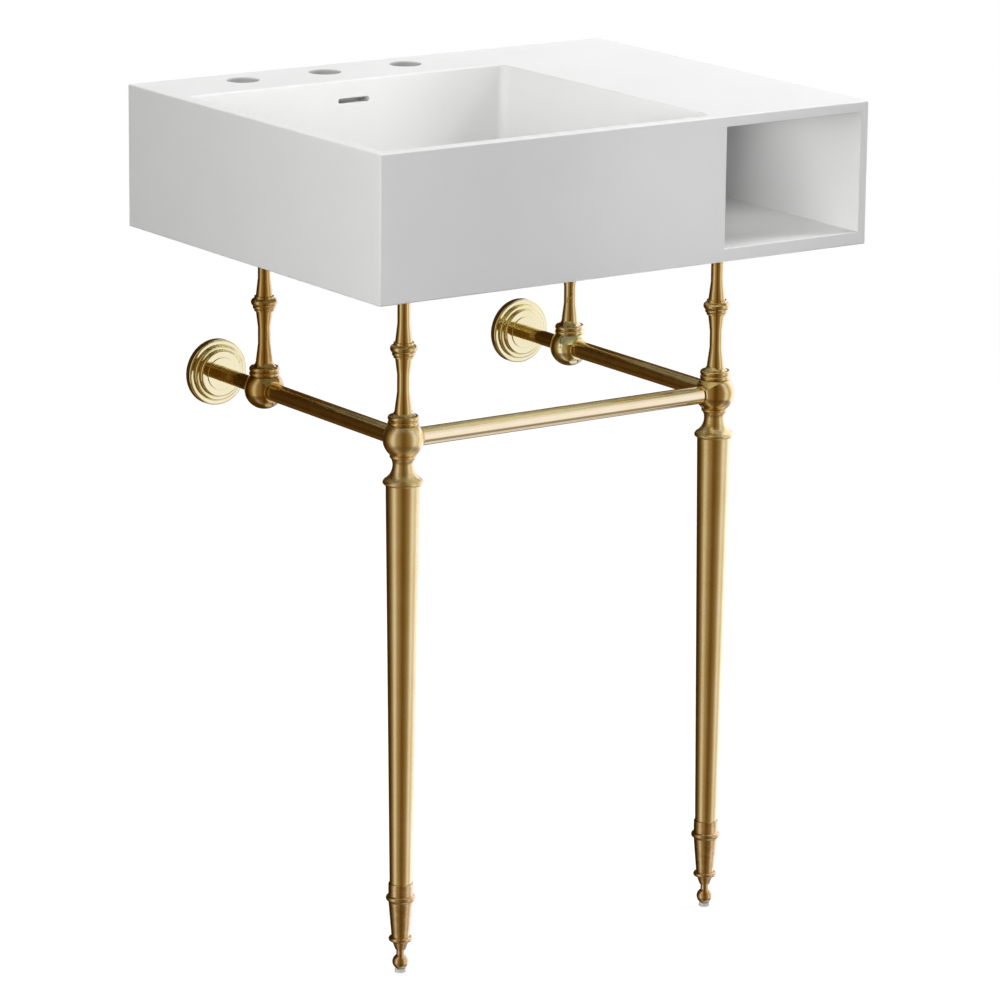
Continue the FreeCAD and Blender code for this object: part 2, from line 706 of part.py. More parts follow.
def mounting_plate(name):
    """Round plate under the basin, with countersunk holes and a thread for the rod."""
    clear = dim.fit_gap
    body = turned(name, [
        (rod_bore, plate_base), (dim.plate_radius, plate_base), (dim.plate_radius, plate_top),
        (rod_bore, plate_top),
    ])
    doc.recompute()
    before = body.Shape.Volume
    sketch = new_sketch(body, "screw_hole")
    centre = dim.plate_screw_circle
    head = dim.plate_screw_head + clear
    shank = dim.plate_screw_radius + clear
    sink_top = plate_base + (head - shank)
    outline(sketch, [
        (centre, plate_base), (centre + head, plate_base), (centre + shank, sink_top),
        (centre + shank, plate_top), (centre, plate_top),
    ])
    axis = sketch.addGeometry(
        Part.LineSegment(FreeCAD.Vector(centre.value, plate_base.value, 0),
                         FreeCAD.Vector(centre.value, plate_top.value, 0)), True)
    fix_point(sketch, axis, 1, centre, plate_base)
    fix_point(sketch, axis, 2, centre, plate_top)
    hole = revolve(body, "Groove", sketch, "Axis0")
    pattern(body, hole, [((sketch, ["V_Axis"]), SCREWS_PER_PLATE, None)])
    cut(body, hole, before)
    return body


# ---- Turned posts ----------------------------------------------------------------------

def tie_rod(name, depth):
    """Threaded rod that holds a post's turned parts together."""
    end = dim.joint_level - depth
    return turned(name, [
        (ZERO, end), (dim.rod_radius, end), (dim.rod_radius, plate_top), (ZERO, plate_top),
    ])


def upper_spindle(name):
    """From the mounting plate to the knop: a collar and a waisted shank."""
    collar_base = plate_base - dim.collar_height
    half = (collar_base - knop_top) / 2
    waist = knop_top + half
    hollow = bow(dim.spindle_end_radius - dim.spindle_waist_radius, half)
    return turned(name, [
        (rod_bore, knop_top), (dim.spindle_end_radius, knop_top, -hollow),
        (dim.spindle_waist_radius, waist, -hollow), (dim.spindle_end_radius, collar_base),
        (dim.collar_radius, collar_base, bow(dim.collar_swell, dim.collar_height / 2)),
        (dim.collar_radius, plate_base), (rod_bore, plate_base),
    ])


def knop(name):
    """Two beads between plain bands; the large bead takes the height that is left."""
    low = dim.knop_level
    band = dim.knop_fillet_radius
    bead_foot = low + dim.knop_band_low
    bead_mid = bead_foot + dim.knop_bead_low
    groove = bead_mid + dim.knop_bead_high
    bead_end = knop_top - dim.knop_band_high
    large_half = (bead_end - groove) / 2
    groove_radius = dim.knop_bead_radius - dim.knop_groove
    return turned(name, [
        (rod_bore, low), (band, low),
        (band, bead_foot, bow(dim.knop_bead_radius - band, dim.knop_bead_low)),
        (dim.knop_bead_radius, bead_mid, bow(dim.knop_groove, dim.knop_bead_high)),
        (groove_radius, groove, bow(dim.knop_radius - groove_radius, large_half)),
        (dim.knop_radius, groove + large_half, bow(dim.knop_radius - band, large_half)),
        (band, bead_end), (band, knop_top), (rod_bore, knop_top),
    ])


def lower_spindle(name):
    """From the knop to the ball: a waisted shank that flares into two rings."""
    flare_top = cushion_top + dim.flare_height
    half = (dim.knop_level - flare_top) / 2
    waist = flare_top + half
    hollow = bow(dim.spindle_end_radius - dim.spindle_waist_radius, half)
    ring = dim.cushion_height / 4
    middle = ball_seat + 2 * ring
    swell = bow(dim.cushion_radius - dim.cushion_waist, ring)
    spread = dim.flare_radius - dim.spindle_end_radius
    flare = root(spread * spread + dim.flare_height * dim.flare_height)
    return turned(name, [
        (rod_bore, ball_seat), (dim.cushion_waist, ball_seat, swell),
        (dim.cushion_radius, ball_seat + ring, swell), (dim.cushion_waist, middle, swell),
        (dim.cushion_radius, middle + ring, swell), (dim.cushion_waist, cushion_top),
        (dim.flare_radius, cushion_top, -flare), (dim.spindle_end_radius, flare_top, -hollow),
        (dim.spindle_waist_radius, waist, -hollow), (dim.spindle_end_radius, dim.knop_level),
        (rod_bore, dim.knop_level),
    ])


def ball_outline(is_front):
    """Half section of a ball with its seats: the front balls also stand on a leg."""
    if is_front:
        foot = [(ZERO, ball_underside), (dim.ball_bottom_flat, ball_underside, dim.ball_radius)]
    else:
        foot = [(ZERO, dim.joint_level - dim.ball_radius, dim.ball_radius),
                (dim.ball_radius, dim.joint_level, dim.ball_radius)]
    return foot + [(dim.ball_top_flat, ball_seat), (ZERO, ball_seat)]


def ball_joint(corner, side, y):
    """A ball with a socket for each rail or arm that meets it."""
    is_front = corner.startswith("front")
    name = f"{corner}_ball_joint"
    body = turned(name, ball_outline(is_front))
    # The YZ plane faces +X and the XZ plane faces -Y.
    if is_front:
        sockets = [("rail", "YZ_Plane", -side, rail_socket), ("side_rail", "XZ_Plane", -1, rail_socket)]
    else:
        sockets = [("side_rail", "XZ_Plane", 1, rail_socket), ("arm", "XZ_Plane", -1, arm_socket)]
    for label, plane, toward, bore in sockets:
        lip = new_sketch(body, f"{label}_lip", plane)
        circle(lip, ZERO, dim.joint_level, dim.lip_radius)
        extrude(body, "Pad", lip, dim.lip_reach, reverse=toward < 0)
    bore_end = ball_underside if is_front else dim.joint_level - dim.rod_depth - dim.seat_gap
    doc.recompute()
    before = body.Shape.Volume
    rod_hole = new_sketch(body, "rod_bore", "XY_Plane", (ZERO, ZERO, ball_seat))
    circle(rod_hole, ZERO, ZERO, rod_bore)
    cut(body, extrude(body, "Pocket", rod_hole, ball_seat - bore_end), before)
    before = body.Shape.Volume
    for label, plane, toward, bore in sockets:
        start = socket_floor * toward
        socket = new_sketch(body, f"{label}_socket", plane, (ZERO, ZERO, start))
        circle(socket, ZERO, dim.joint_level, bore)
        pocket = extrude(body, "Pocket", socket, dim.ball_radius, reverse=toward > 0)
        cut(body, pocket, before)
        before = body.Shape.Volume
        across, along = grub_offset(plane, toward)
        hole = new_sketch(body, f"{label}_grub", "XY_Plane", (ZERO, ZERO, dim.joint_level))
        circle(hole, across, along, dim.grub_radius + dim.fit_gap)
        pocket = extrude(body, "Pocket", hole, dim.ball_radius)
        cut(body, pocket, before)
        before = body.Shape.Volume
    return body


def grub_offset(plane, toward):
    """Where a socket's grub screw stands in plan, from the ball's axis."""
    if plane == "YZ_Plane":
        return dim.grub_from_axis * toward, ZERO
    return ZERO, -dim.grub_from_axis * toward


# ---- Front legs ------------------------------------------------------------------------

def tube_radius_at(level):
    """Outer radius of the tapered leg tube at a level."""
    share = (level - tube_foot_level) / (dim.tube_top_level - tube_foot_level)
    return dim.tube_foot_radius + (dim.tube_top_radius - dim.tube_foot_radius) * share


def leg_neck(name):
    """Vase-shaped neck from the ball to the leg tube, with a spigot in the tube."""
    ring_base = ball_underside - dim.neck_ring_height
    ring_half = dim.neck_ring_height / 2
    neck_top = dim.neck_ring_radius - dim.neck_swell
    rim_top = dim.tube_top_level + dim.neck_rim_height
    rim_half = dim.neck_rim_height / 2
    upper = bow(neck_top - dim.neck_waist_radius, ring_base - dim.neck_waist_level)
    rim_shoulder = dim.neck_rim_radius - dim.neck_swell
    lower = bow(rim_shoulder - dim.neck_waist_radius, dim.neck_waist_level - rim_top)
    rod_end = dim.joint_level - dim.neck_rod_depth - dim.seat_gap
    spigot_end = dim.tube_top_level - dim.neck_spigot_length
    spigot_top = tube_radius_at(dim.tube_top_level) - dim.leg_tube_wall - dim.fit_gap
    spigot_low = tube_radius_at(spigot_end) - dim.leg_tube_wall - dim.fit_gap
    return turned(name, [
        (ZERO, spigot_end), (spigot_low, spigot_end), (spigot_top, dim.tube_top_level),
        (rim_shoulder, dim.tube_top_level), (dim.neck_rim_radius, rim_top - rim_half),
        (rim_shoulder, rim_top, -lower), (dim.neck_waist_radius, dim.neck_waist_level, -upper),
        (neck_top, ring_base, bow(dim.neck_ring_radius - neck_top, ring_half)),
        (dim.neck_ring_radius, ball_underside - ring_half,
         bow(dim.neck_ring_radius - dim.ball_bottom_flat, ring_half)),
        (dim.ball_bottom_flat, ball_underside), (rod_bore, ball_underside), (rod_bore, rod_end),
        (ZERO, rod_end),
    ])


def leg_tube(name):
    """Long tapered tube of the leg."""
    wall = dim.leg_tube_wall
    return turned(name, [
        (dim.tube_foot_radius - wall, tube_foot_level), (dim.tube_foot_radius, tube_foot_level),
        (dim.tube_top_radius, dim.tube_top_level), (dim.tube_top_radius - wall, dim.tube_top_level),
    ])


def leg_ferrule(name):
    """Turned foot of the leg: a sleeve, two beads, a taper and a toe, bored for the stud."""
    socket = tube_radius_at(dim.sleeve_top_level) + dim.fit_gap
    bore = dim.stud_radius + dim.stud_gap
    bore_end = dim.toe_level + dim.stud_length + dim.seat_gap
    bead_top = dim.bead_level + dim.bead_height
    bead_mid = dim.bead_level + dim.bead_height / 2
    bead = bow(dim.bead_radius - dim.sleeve_radius, dim.bead_height / 2)
    cone_top = dim.bead_level - dim.ferrule_step
    toe_top = dim.toe_bead_level + dim.toe_bead_height
    toe_mid = dim.toe_bead_level + dim.toe_bead_height / 2
    toe_high = bow(dim.toe_bead_radius - dim.cone_foot_radius, dim.toe_bead_height / 2)
    toe_low = bow(dim.toe_bead_radius - dim.toe_top_radius, dim.toe_bead_height / 2)
    lip = dim.sleeve_chamfer
    return turned(name, [
        (bore, dim.toe_level), (dim.toe_foot_radius, dim.toe_level),
        (dim.toe_top_radius, dim.toe_bead_level, toe_low), (dim.toe_bead_radius, toe_mid, toe_high),
        (dim.cone_foot_radius, toe_top), (dim.cone_top_radius, cone_top),
        (dim.cone_top_radius + lip, cone_top + lip), (dim.sleeve_radius, dim.bead_level, bead),
        (dim.bead_radius, bead_mid, bead), (dim.sleeve_radius, bead_top),
        (dim.sleeve_radius, dim.sleeve_top_level - lip),
        (dim.sleeve_radius - lip, dim.sleeve_top_level), (socket, dim.sleeve_top_level),
        (socket, tube_foot_level), (ZERO, tube_foot_level), (ZERO, bore_end), (bore, bore_end),
    ])


def levelling_foot(name):
    """Ball foot on a threaded stud, which screws out of the ferrule to level the sink."""
    ball = dim.foot_ball_radius
    neck_end = dim.foot_ball_level + sphere_height(ball, dim.foot_neck_radius)
    neck_top = dim.toe_level - dim.seat_gap
    return turned(name, [
        (ZERO, dim.foot_ball_level - ball, ball), (ball, dim.foot_ball_level, ball),
        (dim.foot_neck_radius, neck_end), (dim.foot_neck_radius, neck_top),
        (dim.stud_radius, neck_top), (dim.stud_radius, dim.toe_level + dim.stud_length),
        (ZERO, dim.toe_level + dim.stud_length),
    ])


def foot_glide(name):
    """Plastic disc with a dish for the ball foot, which stands on the floor."""
    dish = dim.foot_ball_radius + dim.fit_gap
    low = dim.foot_ball_level - dish
    drop = dim.foot_ball_level - dim.glide_height
    mouth = root(dish * dish - drop * drop)
    return turned(name, [
        (ZERO, ZERO), (dim.glide_radius, ZERO), (dim.glide_radius, dim.glide_height),
        (mouth, dim.glide_height, -dish), (ZERO, low),
    ])


# ---- Rails and wall fixings ------------------------------------------------------------

def grub_screws():
    """Grub screws under the balls, which lock the rails and arms."""
    screws = []
    for corner, side, y in CORNERS:
        if corner.startswith("front"):
            spots = [(-side * dim.grub_from_axis, ZERO), (ZERO, dim.grub_from_axis)]
        else:
            spots = [(ZERO, -dim.grub_from_axis), (ZERO, dim.grub_from_axis)]
        for number, (across, along) in enumerate(spots):
            is_arm = not corner.startswith("front") and number == 1
            held = dim.arm_radius if is_arm else dim.rail_radius
            screw = doc.addObject("Part::Cylinder", f"grub_{corner}_{number}")
            screw.setExpression("Radius", dim.grub_radius.text)
            screw.setExpression("Height", dim.grub_length.text)
            place(screw, side * post_x + across, y + along,
                  dim.joint_level - held - dim.seat_gap - dim.grub_length)
            screws.append(screw)
    group = doc.addObject("Part::Compound", "rail_grub_screws")
    group.Label = "rail_grub_screws"
    group.Links = screws
    return group


def front_rail():
    """Rail between the two front balls; a towel hangs over it."""
    body = tube("front_rail", "YZ_Plane", -post_x + rail_end, dim.post_spacing - 2 * rail_end,
                dim.rail_radius, dim.rail_radius - dim.tube_wall)
    place(body, ZERO, leg_y, dim.joint_level)
    return body


def side_rail(name, side):
    """Rail from a front ball to the rear ball behind it."""
    body = tube(name, "XZ_Plane", -(post_y - rail_end), post_y - leg_y - 2 * rail_end,
                dim.rail_radius, dim.rail_radius - dim.tube_wall)
    place(body, side * post_x, ZERO, dim.joint_level)
    return body


def wall_arm(name, side):
    """Short tube from a rear ball to the wall plate."""
    end = wall_plane - dim.wall_plate_thickness
    body = tube(name, "XZ_Plane", -end, end - post_y - rail_end, dim.arm_radius,
                dim.arm_radius - dim.tube_wall)
    place(body, side * post_x, ZERO, dim.joint_level)
    return body


def wall_plate(name, side):
    """Hidden plate with two screw holes and a spigot for the arm."""
    face = wall_plane - dim.wall_plate_thickness
    spigot = dim.arm_radius - dim.tube_wall - dim.fit_gap
    body = turned(name, [
        (ZERO, face - dim.spigot_length), (spigot, face - dim.spigot_length), (spigot, face),
        (dim.wall_plate_radius, face), (dim.wall_plate_radius, wall_plane), (ZERO, wall_plane),
    ], plane="XY_Plane")
    doc.recompute()
    before = body.Shape.Volume
    holes = new_sketch(body, "screw_holes", "XZ_Plane", (ZERO, ZERO, -wall_plane))
    for step in (-0.5, 0.5):
        circle(holes, ZERO, step * dim.wall_screw_spacing, dim.wall_screw_radius)
    pocket = extrude(body, "Pocket", holes, dim.wall_plate_thickness, reverse=True)
    cut(body, pocket, before)
    place(body, side * post_x, ZERO, dim.joint_level)
    return body


def wall_flange(name, side):
    """Stepped cover that slides along the arm over the wall plate."""
    rim = wall_plane - dim.flange_rim
    one = rim - dim.flange_step
    two = one - dim.flange_step
    three = two - dim.flange_disc
    roof = two + dim.flange_wall
    hollow = dim.flange_radius - dim.flange_wall
    soft = least(dim.flange_soft, dim.flange_step / 2)
    rim_soft = least(soft, (dim.flange_radius - dim.flange_ring_one) / 2)
    body = turned(name, [
        (arm_socket, three), (dim.flange_ring_three, three), (dim.flange_ring_three, two),
        (dim.flange_ring_two - soft, two, soft), (dim.flange_ring_two, two + soft),
        (dim.flange_ring_two, one), (dim.flange_ring_one - soft, one, soft),
        (dim.flange_ring_one, one + soft), (dim.flange_ring_one, rim),
        (dim.flange_radius - rim_soft, rim, rim_soft), (dim.flange_radius, rim + rim_soft),
        (dim.flange_radius, wall_plane), (hollow, wall_plane), (hollow, rim + dim.flange_wall),
        (dim.flange_ring_one - dim.flange_wall, rim + dim.flange_wall), (arm_socket, roof),
    ], plane="XY_Plane")
    place(body, side * post_x, ZERO, dim.joint_level)
    return body


# ---- Assembly --------------------------------------------------------------------------

def build_post(corner, side, y):
    """The turned parts of one post, from the basin down to its ball."""
    rod_depth = dim.neck_rod_depth if corner.startswith("front") else dim.rod_depth
    parts = [
        mounting_plate(f"{corner}_mounting_plate"), tie_rod(f"{corner}_tie_rod", rod_depth),
        upper_spindle(f"{corner}_upper_spindle"), knop(f"{corner}_knop"),
        lower_spindle(f"{corner}_lower_spindle"), ball_joint(corner, side, y),
    ]
    for part in parts:
        place(part, side * post_x, y)
    return parts


def build_leg(corner, side, y):
    """The parts of one front leg, from its ball down to the floor."""
    parts = [
        leg_neck(f"{corner}_leg_neck"), leg_tube(f"{corner}_leg_tube"),
        leg_ferrule(f"{corner}_leg_ferrule"), levelling_foot(f"{corner}_levelling_foot"),
        foot_glide(f"{corner}_foot_glide"),
    ]
    for part in parts:
        place(part, side * post_x, y)
    return parts


def build_all():
    """Every node of the sink."""
    nodes = [basin(), basin_inserts(), basin_pads(), plate_screws()]
    for corner in CORNERS:
        nodes += build_post(*corner)
    for corner in FRONT_CORNERS:
        nodes += build_leg(*corner)
    nodes += [front_rail(), grub_screws()]
    for word, side in (("left", LEFT), ("right", RIGHT)):
        nodes += [
            side_rail(f"{word}_side_rail", side), wall_arm(f"{word}_wall_arm", side),
            wall_plate(f"{word}_wall_plate", side), wall_flange(f"{word}_wall_flange", side),
        ]
    return nodes


def check_document(nodes):
    """Stop if any object failed, or a node's shape is missing or invalid."""
    for item in doc.Objects:
        if "Invalid" in item.State or "Error" in item.State:
            raise RuntimeError(f"{item.Name} failed: {item.State}")
    for node in nodes:
        if node.Shape.isNull() or not node.Shape.isValid() or not node.Shape.Solids:
            raise RuntimeError(f"{node.Label} has no valid solid")


def export(nodes):
    """Write each node to its own file."""
    os.makedirs("parts", exist_ok=True)
    for node in nodes:
        node.Shape.exportStep(f"parts/{node.Label}.step")
        print(f"{node.Label}: {len(node.Shape.Solids)} solids, {node.Shape.Volume:.0f} mm3")


nodes = build_all()
doc.recompute()
check_document(nodes)
export(nodes)
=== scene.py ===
import logging
import math
from dataclasses import dataclass, field, replace
from enum import Enum
from typing import Optional, Sequence, Union

import bmesh
import bpy
from mathutils import Matrix, Vector


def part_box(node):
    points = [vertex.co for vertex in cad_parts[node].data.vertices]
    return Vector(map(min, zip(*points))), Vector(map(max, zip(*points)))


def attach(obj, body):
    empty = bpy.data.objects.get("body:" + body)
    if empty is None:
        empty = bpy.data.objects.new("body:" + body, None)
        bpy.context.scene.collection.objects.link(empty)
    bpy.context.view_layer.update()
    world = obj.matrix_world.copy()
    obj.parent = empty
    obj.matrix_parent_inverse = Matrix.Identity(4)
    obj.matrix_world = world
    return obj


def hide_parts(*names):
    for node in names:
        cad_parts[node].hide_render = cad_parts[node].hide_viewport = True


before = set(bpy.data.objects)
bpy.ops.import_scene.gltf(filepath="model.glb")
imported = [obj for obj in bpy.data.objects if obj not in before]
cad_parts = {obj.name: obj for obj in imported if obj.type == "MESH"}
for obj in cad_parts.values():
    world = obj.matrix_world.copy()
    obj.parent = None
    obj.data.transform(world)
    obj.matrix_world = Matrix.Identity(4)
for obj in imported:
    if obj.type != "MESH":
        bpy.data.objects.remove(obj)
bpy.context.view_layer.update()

log = logging.getLogger("console_sink")

MM = 0.001
Colour = tuple[float, float, float]
Point = tuple[float, float, float]


# ---- Shader nodes -------------------------------------------------------------------

class Wire:
    """A shader socket that takes part in Python arithmetic."""

    def __init__(self, bench: "Bench", socket: Optional[bpy.types.NodeSocket]) -> None:
        """Wrap a socket.

        Args:
            bench: the bench whose node tree holds the socket.
            socket: the output socket, or None for a node that has none.
        """
        self.bench = bench
        self.socket = socket

    def maths(self, operation: str, *values: "Value") -> "Wire":
        """Add one Math node.

        Args:
            operation: the node's operation.
            values: its inputs, in order.

        Returns:
            The node's output.
        """
        return self.bench.add("ShaderNodeMath", {"operation": operation}, dict(enumerate(values)))

    def __add__(self, other: "Value") -> "Wire":
        """Sum."""
        return self.maths("ADD", self, other)

    def __radd__(self, other: "Value") -> "Wire":
        """Sum, reflected."""
        return self.maths("ADD", other, self)

    def __sub__(self, other: "Value") -> "Wire":
        """Difference."""
        return self.maths("SUBTRACT", self, other)

    def __rsub__(self, other: "Value") -> "Wire":
        """Difference, reflected."""
        return self.maths("SUBTRACT", other, self)

    def __mul__(self, other: "Value") -> "Wire":
        """Product."""
        return self.maths("MULTIPLY", self, other)

    def __rmul__(self, other: "Value") -> "Wire":
        """Product, reflected."""
        return self.maths("MULTIPLY", other, self)

    def __truediv__(self, other: "Value") -> "Wire":
        """Quotient."""
        return self.maths("DIVIDE", self, other)

    def clamped(self, low: float, high: float) -> "Wire":
        """The value, kept between two numbers."""
        return self.maths("MINIMUM", self.maths("MAXIMUM", self, low), high)

    def rise(self, start: float, width: float) -> "Wire":
        """0 up to the start, then rising to 1 over the width."""
        return ((self - start) / width).clamped(0.0, 1.0)

    def beside(self, output: Union[int, str]) -> "Wire":
        """Another output of the same node."""
        return Wire(self.bench, self.socket.node.outputs[output])


Value = Union[Wire, float]


class Bench:
    """Puts nodes into one node tree."""

    def __init__(self, tree: bpy.types.NodeTree) -> None:
        """Empty the tree.

        Args:
            tree: the node tree of a material or of the world.
        """
        self.tree = tree
        tree.nodes.clear()

    def add(self, kind: str, settings: Optional[dict] = None, inputs: Optional[dict] = None,
            output: Union[int, str] = 0) -> Wire:
        """Add one node.

        Args:
            kind: the node's type.
            settings: its settings, set first; "stops" holds a ramp's (place, colour) pairs.
            inputs: a number, a tuple or a Wire for each named or numbered socket.
            output: the output that is wanted.

        Returns:
            That output.
        """
        node = self.tree.nodes.new(kind)
        for name, value in (settings or {}).items():
            if name == "stops":
                self._fill_ramp(node.color_ramp, value)
            else:
                setattr(node, name, value)
        for name, value in (inputs or {}).items():
            if isinstance(value, Wire):
                self.tree.links.new(value.socket, node.inputs[name])
            else:
                node.inputs[name].default_value = value
        return Wire(self, node.outputs[output] if node.outputs else None)

    @staticmethod
    def _fill_ramp(ramp: bpy.types.ColorRamp, stops: Sequence[tuple[float, Colour]]) -> None:
        """Give a colour ramp its stops."""
        while len(ramp.elements) < len(stops):
            ramp.elements.new(1.0)
        for element, (place, colour) in zip(ramp.elements, stops):
            element.position = place
            element.color = (*colour, 1.0)

    def noise(self, vector: Wire, scale: float, detail: float = 3.0) -> Wire:
        """A noise texture's value, about 0.5 on average."""
        return self.add("ShaderNodeTexNoise", {},
                        {"Vector": vector, "Scale": scale, "Detail": detail})

    def length(self, vector: Wire) -> Wire:
        """A vector's length."""
        return self.add("ShaderNodeVectorMath", {"operation": "LENGTH"}, {0: vector}, "Value")

    def blend(self, share: Value, first: Union[Wire, Colour], second: Union[Wire, Colour]) -> Wire:
        """Mix two colours.

        Args:
            share: how much of the second colour there is.
            first: the colour at 0.
            second: the colour at 1.

        Returns:
            The mixed colour.
        """
        ends = [end if isinstance(end, Wire) else (*end, 1.0) for end in (first, second)]
        return self.add("ShaderNodeMix", {"data_type": "RGBA"},
                        {0: share, 6: ends[0], 7: ends[1]}, output=2)


# ---- Finishes -----------------------------------------------------------------------

class Grain(Enum):
    """Which way a finish's fine lines run, as a stretch of its noise on X, Y and Z."""

    EVEN = (900.0, 900.0, 900.0)
    TURNED = (60.0, 60.0, 2600.0)
    UPRIGHT = (1700.0, 1700.0, 22.0)
    SIDEWAYS = (22.0, 1700.0, 1700.0)
    INWARD = (1700.0, 22.0, 1700.0)


@dataclass(frozen=True)
class Finish:
    """How a surface looks: two tones that cloud into each other, with grit and fine lines."""

    name: str
    slot: str
    light: Colour
    deep: Colour
    metallic: float
    roughness: float
    unevenness: float = 0.05
    cloud_scale: float = 40.0
    grit_scale: float = 700.0
    grit_depth: float = 0.004
    line_depth: float = 0.0
    specular: float = 0.5
    tone_weights: tuple[float, float, float] = (1.5, 0.5, 0.5)
    # Painted shade: the walls of these upright bores are darkened from their top downwards.
    bores: tuple[Point, ...] = ()
    bore_radius: float = 17.8
    bore_fade: float = 2.0
    bore_shade: float = 0.32

    def shade(self, bench: Bench, place: Wire) -> Value:
        """How much painted shade darkens the walls of the finish's upright bores.

        Args:
            bench: the material's bench.
            place: the object coordinates.

        Returns:
            The share of the base colour that is lost.
        """
        total: Value = 0.0
        for x, y, top in self.bores:
            off = bench.add("ShaderNodeVectorMath", {"operation": "SUBTRACT"},
                            {0: place, 1: (x * MM, y * MM, top * MM)})
            parts = bench.add("ShaderNodeSeparateXYZ", {}, {0: off})
            flat = bench.add("ShaderNodeCombineXYZ", {}, {0: parts, 1: parts.beside(1)})
            far = bench.length(flat)
            within = far.maths("LESS_THAN", far, self.bore_radius * MM)
            total = total + within * (parts.beside(2) * -1.0).rise(0.0, self.bore_fade * MM)
        return total * self.bore_shade

    def material(self, grain: Grain) -> bpy.types.Material:
        """Make the finish as a material.

        Args:
            grain: the way that its fine lines run.

        Returns:
            The material, one for each grain.
        """
        title = f"{self.name}_{grain.name.lower()}"
        if title in bpy.data.materials:
            return bpy.data.materials[title]
        made = bpy.data.materials.new(title)
        made.use_nodes = True
        bench = Bench(made.node_tree)
        place = bench.add("ShaderNodeTexCoord", output="Object")
        cloud = bench.noise(place, self.cloud_scale, 4.0)
        grit = bench.noise(place, self.grit_scale, 2.0)
        drawn = bench.add("ShaderNodeMapping", {"vector_type": "POINT"},
                          {"Vector": place, "Scale": grain.value})
        lines = bench.noise(drawn, 1.0, 2.0)
        by_cloud, by_grit, by_lines = self.tone_weights
        middle = (sum(self.tone_weights) - 1.0) / 2
        tone = (cloud * by_cloud + grit * by_grit + lines * by_lines - middle).clamped(0.0, 1.0)
        gloss = self.roughness + (cloud + lines - 1.0) * self.unevenness
        height = grit * self.grit_depth + lines * self.line_depth
        paint = bench.blend(tone, self.deep, self.light)
        # Painted shade on the walls of the bores.
        if self.bores:
            paint = bench.blend(self.shade(bench, place), paint, (0.0, 0.0, 0.0))
        bump = bench.add("ShaderNodeBump", {}, {"Height": height, "Distance": MM, "Strength": 1.0})
        shader = bench.add("ShaderNodeBsdfPrincipled", {}, {
            "Base Color": paint,
            "Roughness": gloss.clamped(0.03, 1.0),
            "Metallic": self.metallic,
            "Specular IOR Level": self.specular,
            "Normal": bump,
        })
        bench.add("ShaderNodeOutputMaterial", {}, {"Surface": shader})
        return made


# The tap holes in the deck, whose walls get painted shade.
TAPS = ((-184.6, 200.0, 885.0), (-83.0, 200.0, 885.0), (18.6, 200.0, 885.0))
SOLID_SURFACE = Finish("solid_surface", "solid_surface", (0.86, 0.86, 0.855), (0.835, 0.835, 0.83),
                       metallic=0.0, roughness=0.42, unevenness=0.05, cloud_scale=14.0,
                       grit_scale=1500.0, grit_depth=0.003, specular=0.2, bores=TAPS)
SATIN_BRASS = Finish("satin_brass", "satin_brass", (0.91, 0.73, 0.33), (0.83, 0.62, 0.24),
                     metallic=1.0, roughness=0.28, unevenness=0.05, cloud_scale=34.0,
                     grit_scale=1100.0, grit_depth=0.0016, line_depth=0.0010)
# Honed, with a darker tone that is painted shade for the front posts under the basin, the
# front-right ball and the right wall arm.
HONED_SHADED_BRASS = Finish("honed_shaded_brass", "satin_brass", (0.80, 0.62, 0.25), (0.68, 0.48, 0.16),
                     metallic=1.0, roughness=0.13, unevenness=0.05, cloud_scale=60.0,
                     grit_scale=900.0, grit_depth=0.0012, line_depth=0.0006)
# A darker, browner copy of the brass: painted shade for the rear-left post and the left wall arm.
DARK_SHADED_BRASS = Finish("dark_shaded_brass", "satin_brass", (0.68, 0.47, 0.15), (0.54, 0.34, 0.09),
                    metallic=1.0, roughness=0.17, unevenness=0.06, cloud_scale=60.0,
                    grit_scale=900.0, grit_depth=0.0014, line_depth=0.0008)
GRAINY_BRASS = Finish("grainy_brass", "satin_brass", (0.88, 0.68, 0.31), (0.56, 0.36, 0.13),
                      metallic=1.0, roughness=0.24, unevenness=0.12, cloud_scale=150.0,
                      grit_scale=800.0, grit_depth=0.007, line_depth=0.002)
RAIL_BRASS = Finish("rail_brass", "polished_brass", (0.96, 0.82, 0.43), (0.91, 0.74, 0.34),
                    metallic=1.0, roughness=0.09, unevenness=0.03, cloud_scale=30.0,
                    grit_scale=900.0, grit_depth=0.0008, line_depth=0.0004)
BROWN_BRASS = Finish("brown_brass", "polished_brass", (0.95, 0.76, 0.36), (0.84, 0.62, 0.24),
                     metallic=1.0, roughness=0.20, unevenness=0.06, cloud_scale=60.0,
                     grit_scale=900.0, grit_depth=0.0014, line_depth=0.0008)
POLISHED_BRASS = Finish("polished_brass", "polished_brass",
                        (0.91, 0.83, 0.41), (0.87, 0.76, 0.33), metallic=1.0,
                        roughness=0.03, unevenness=0.015, cloud_scale=30.0,
                        grit_scale=700.0, grit_depth=0.0002, line_depth=0.0001)
# A darker copy of the polished brass: painted shade for the rear-right post.
POLISHED_SHADED_BRASS = Finish("polished_shaded_brass", "polished_brass",
                         (0.76, 0.62, 0.28), (0.68, 0.52, 0.21), metallic=1.0,
                         roughness=0.04, unevenness=0.02, cloud_scale=50.0,
                         grit_scale=800.0, grit_depth=0.0006, line_depth=0.0002)
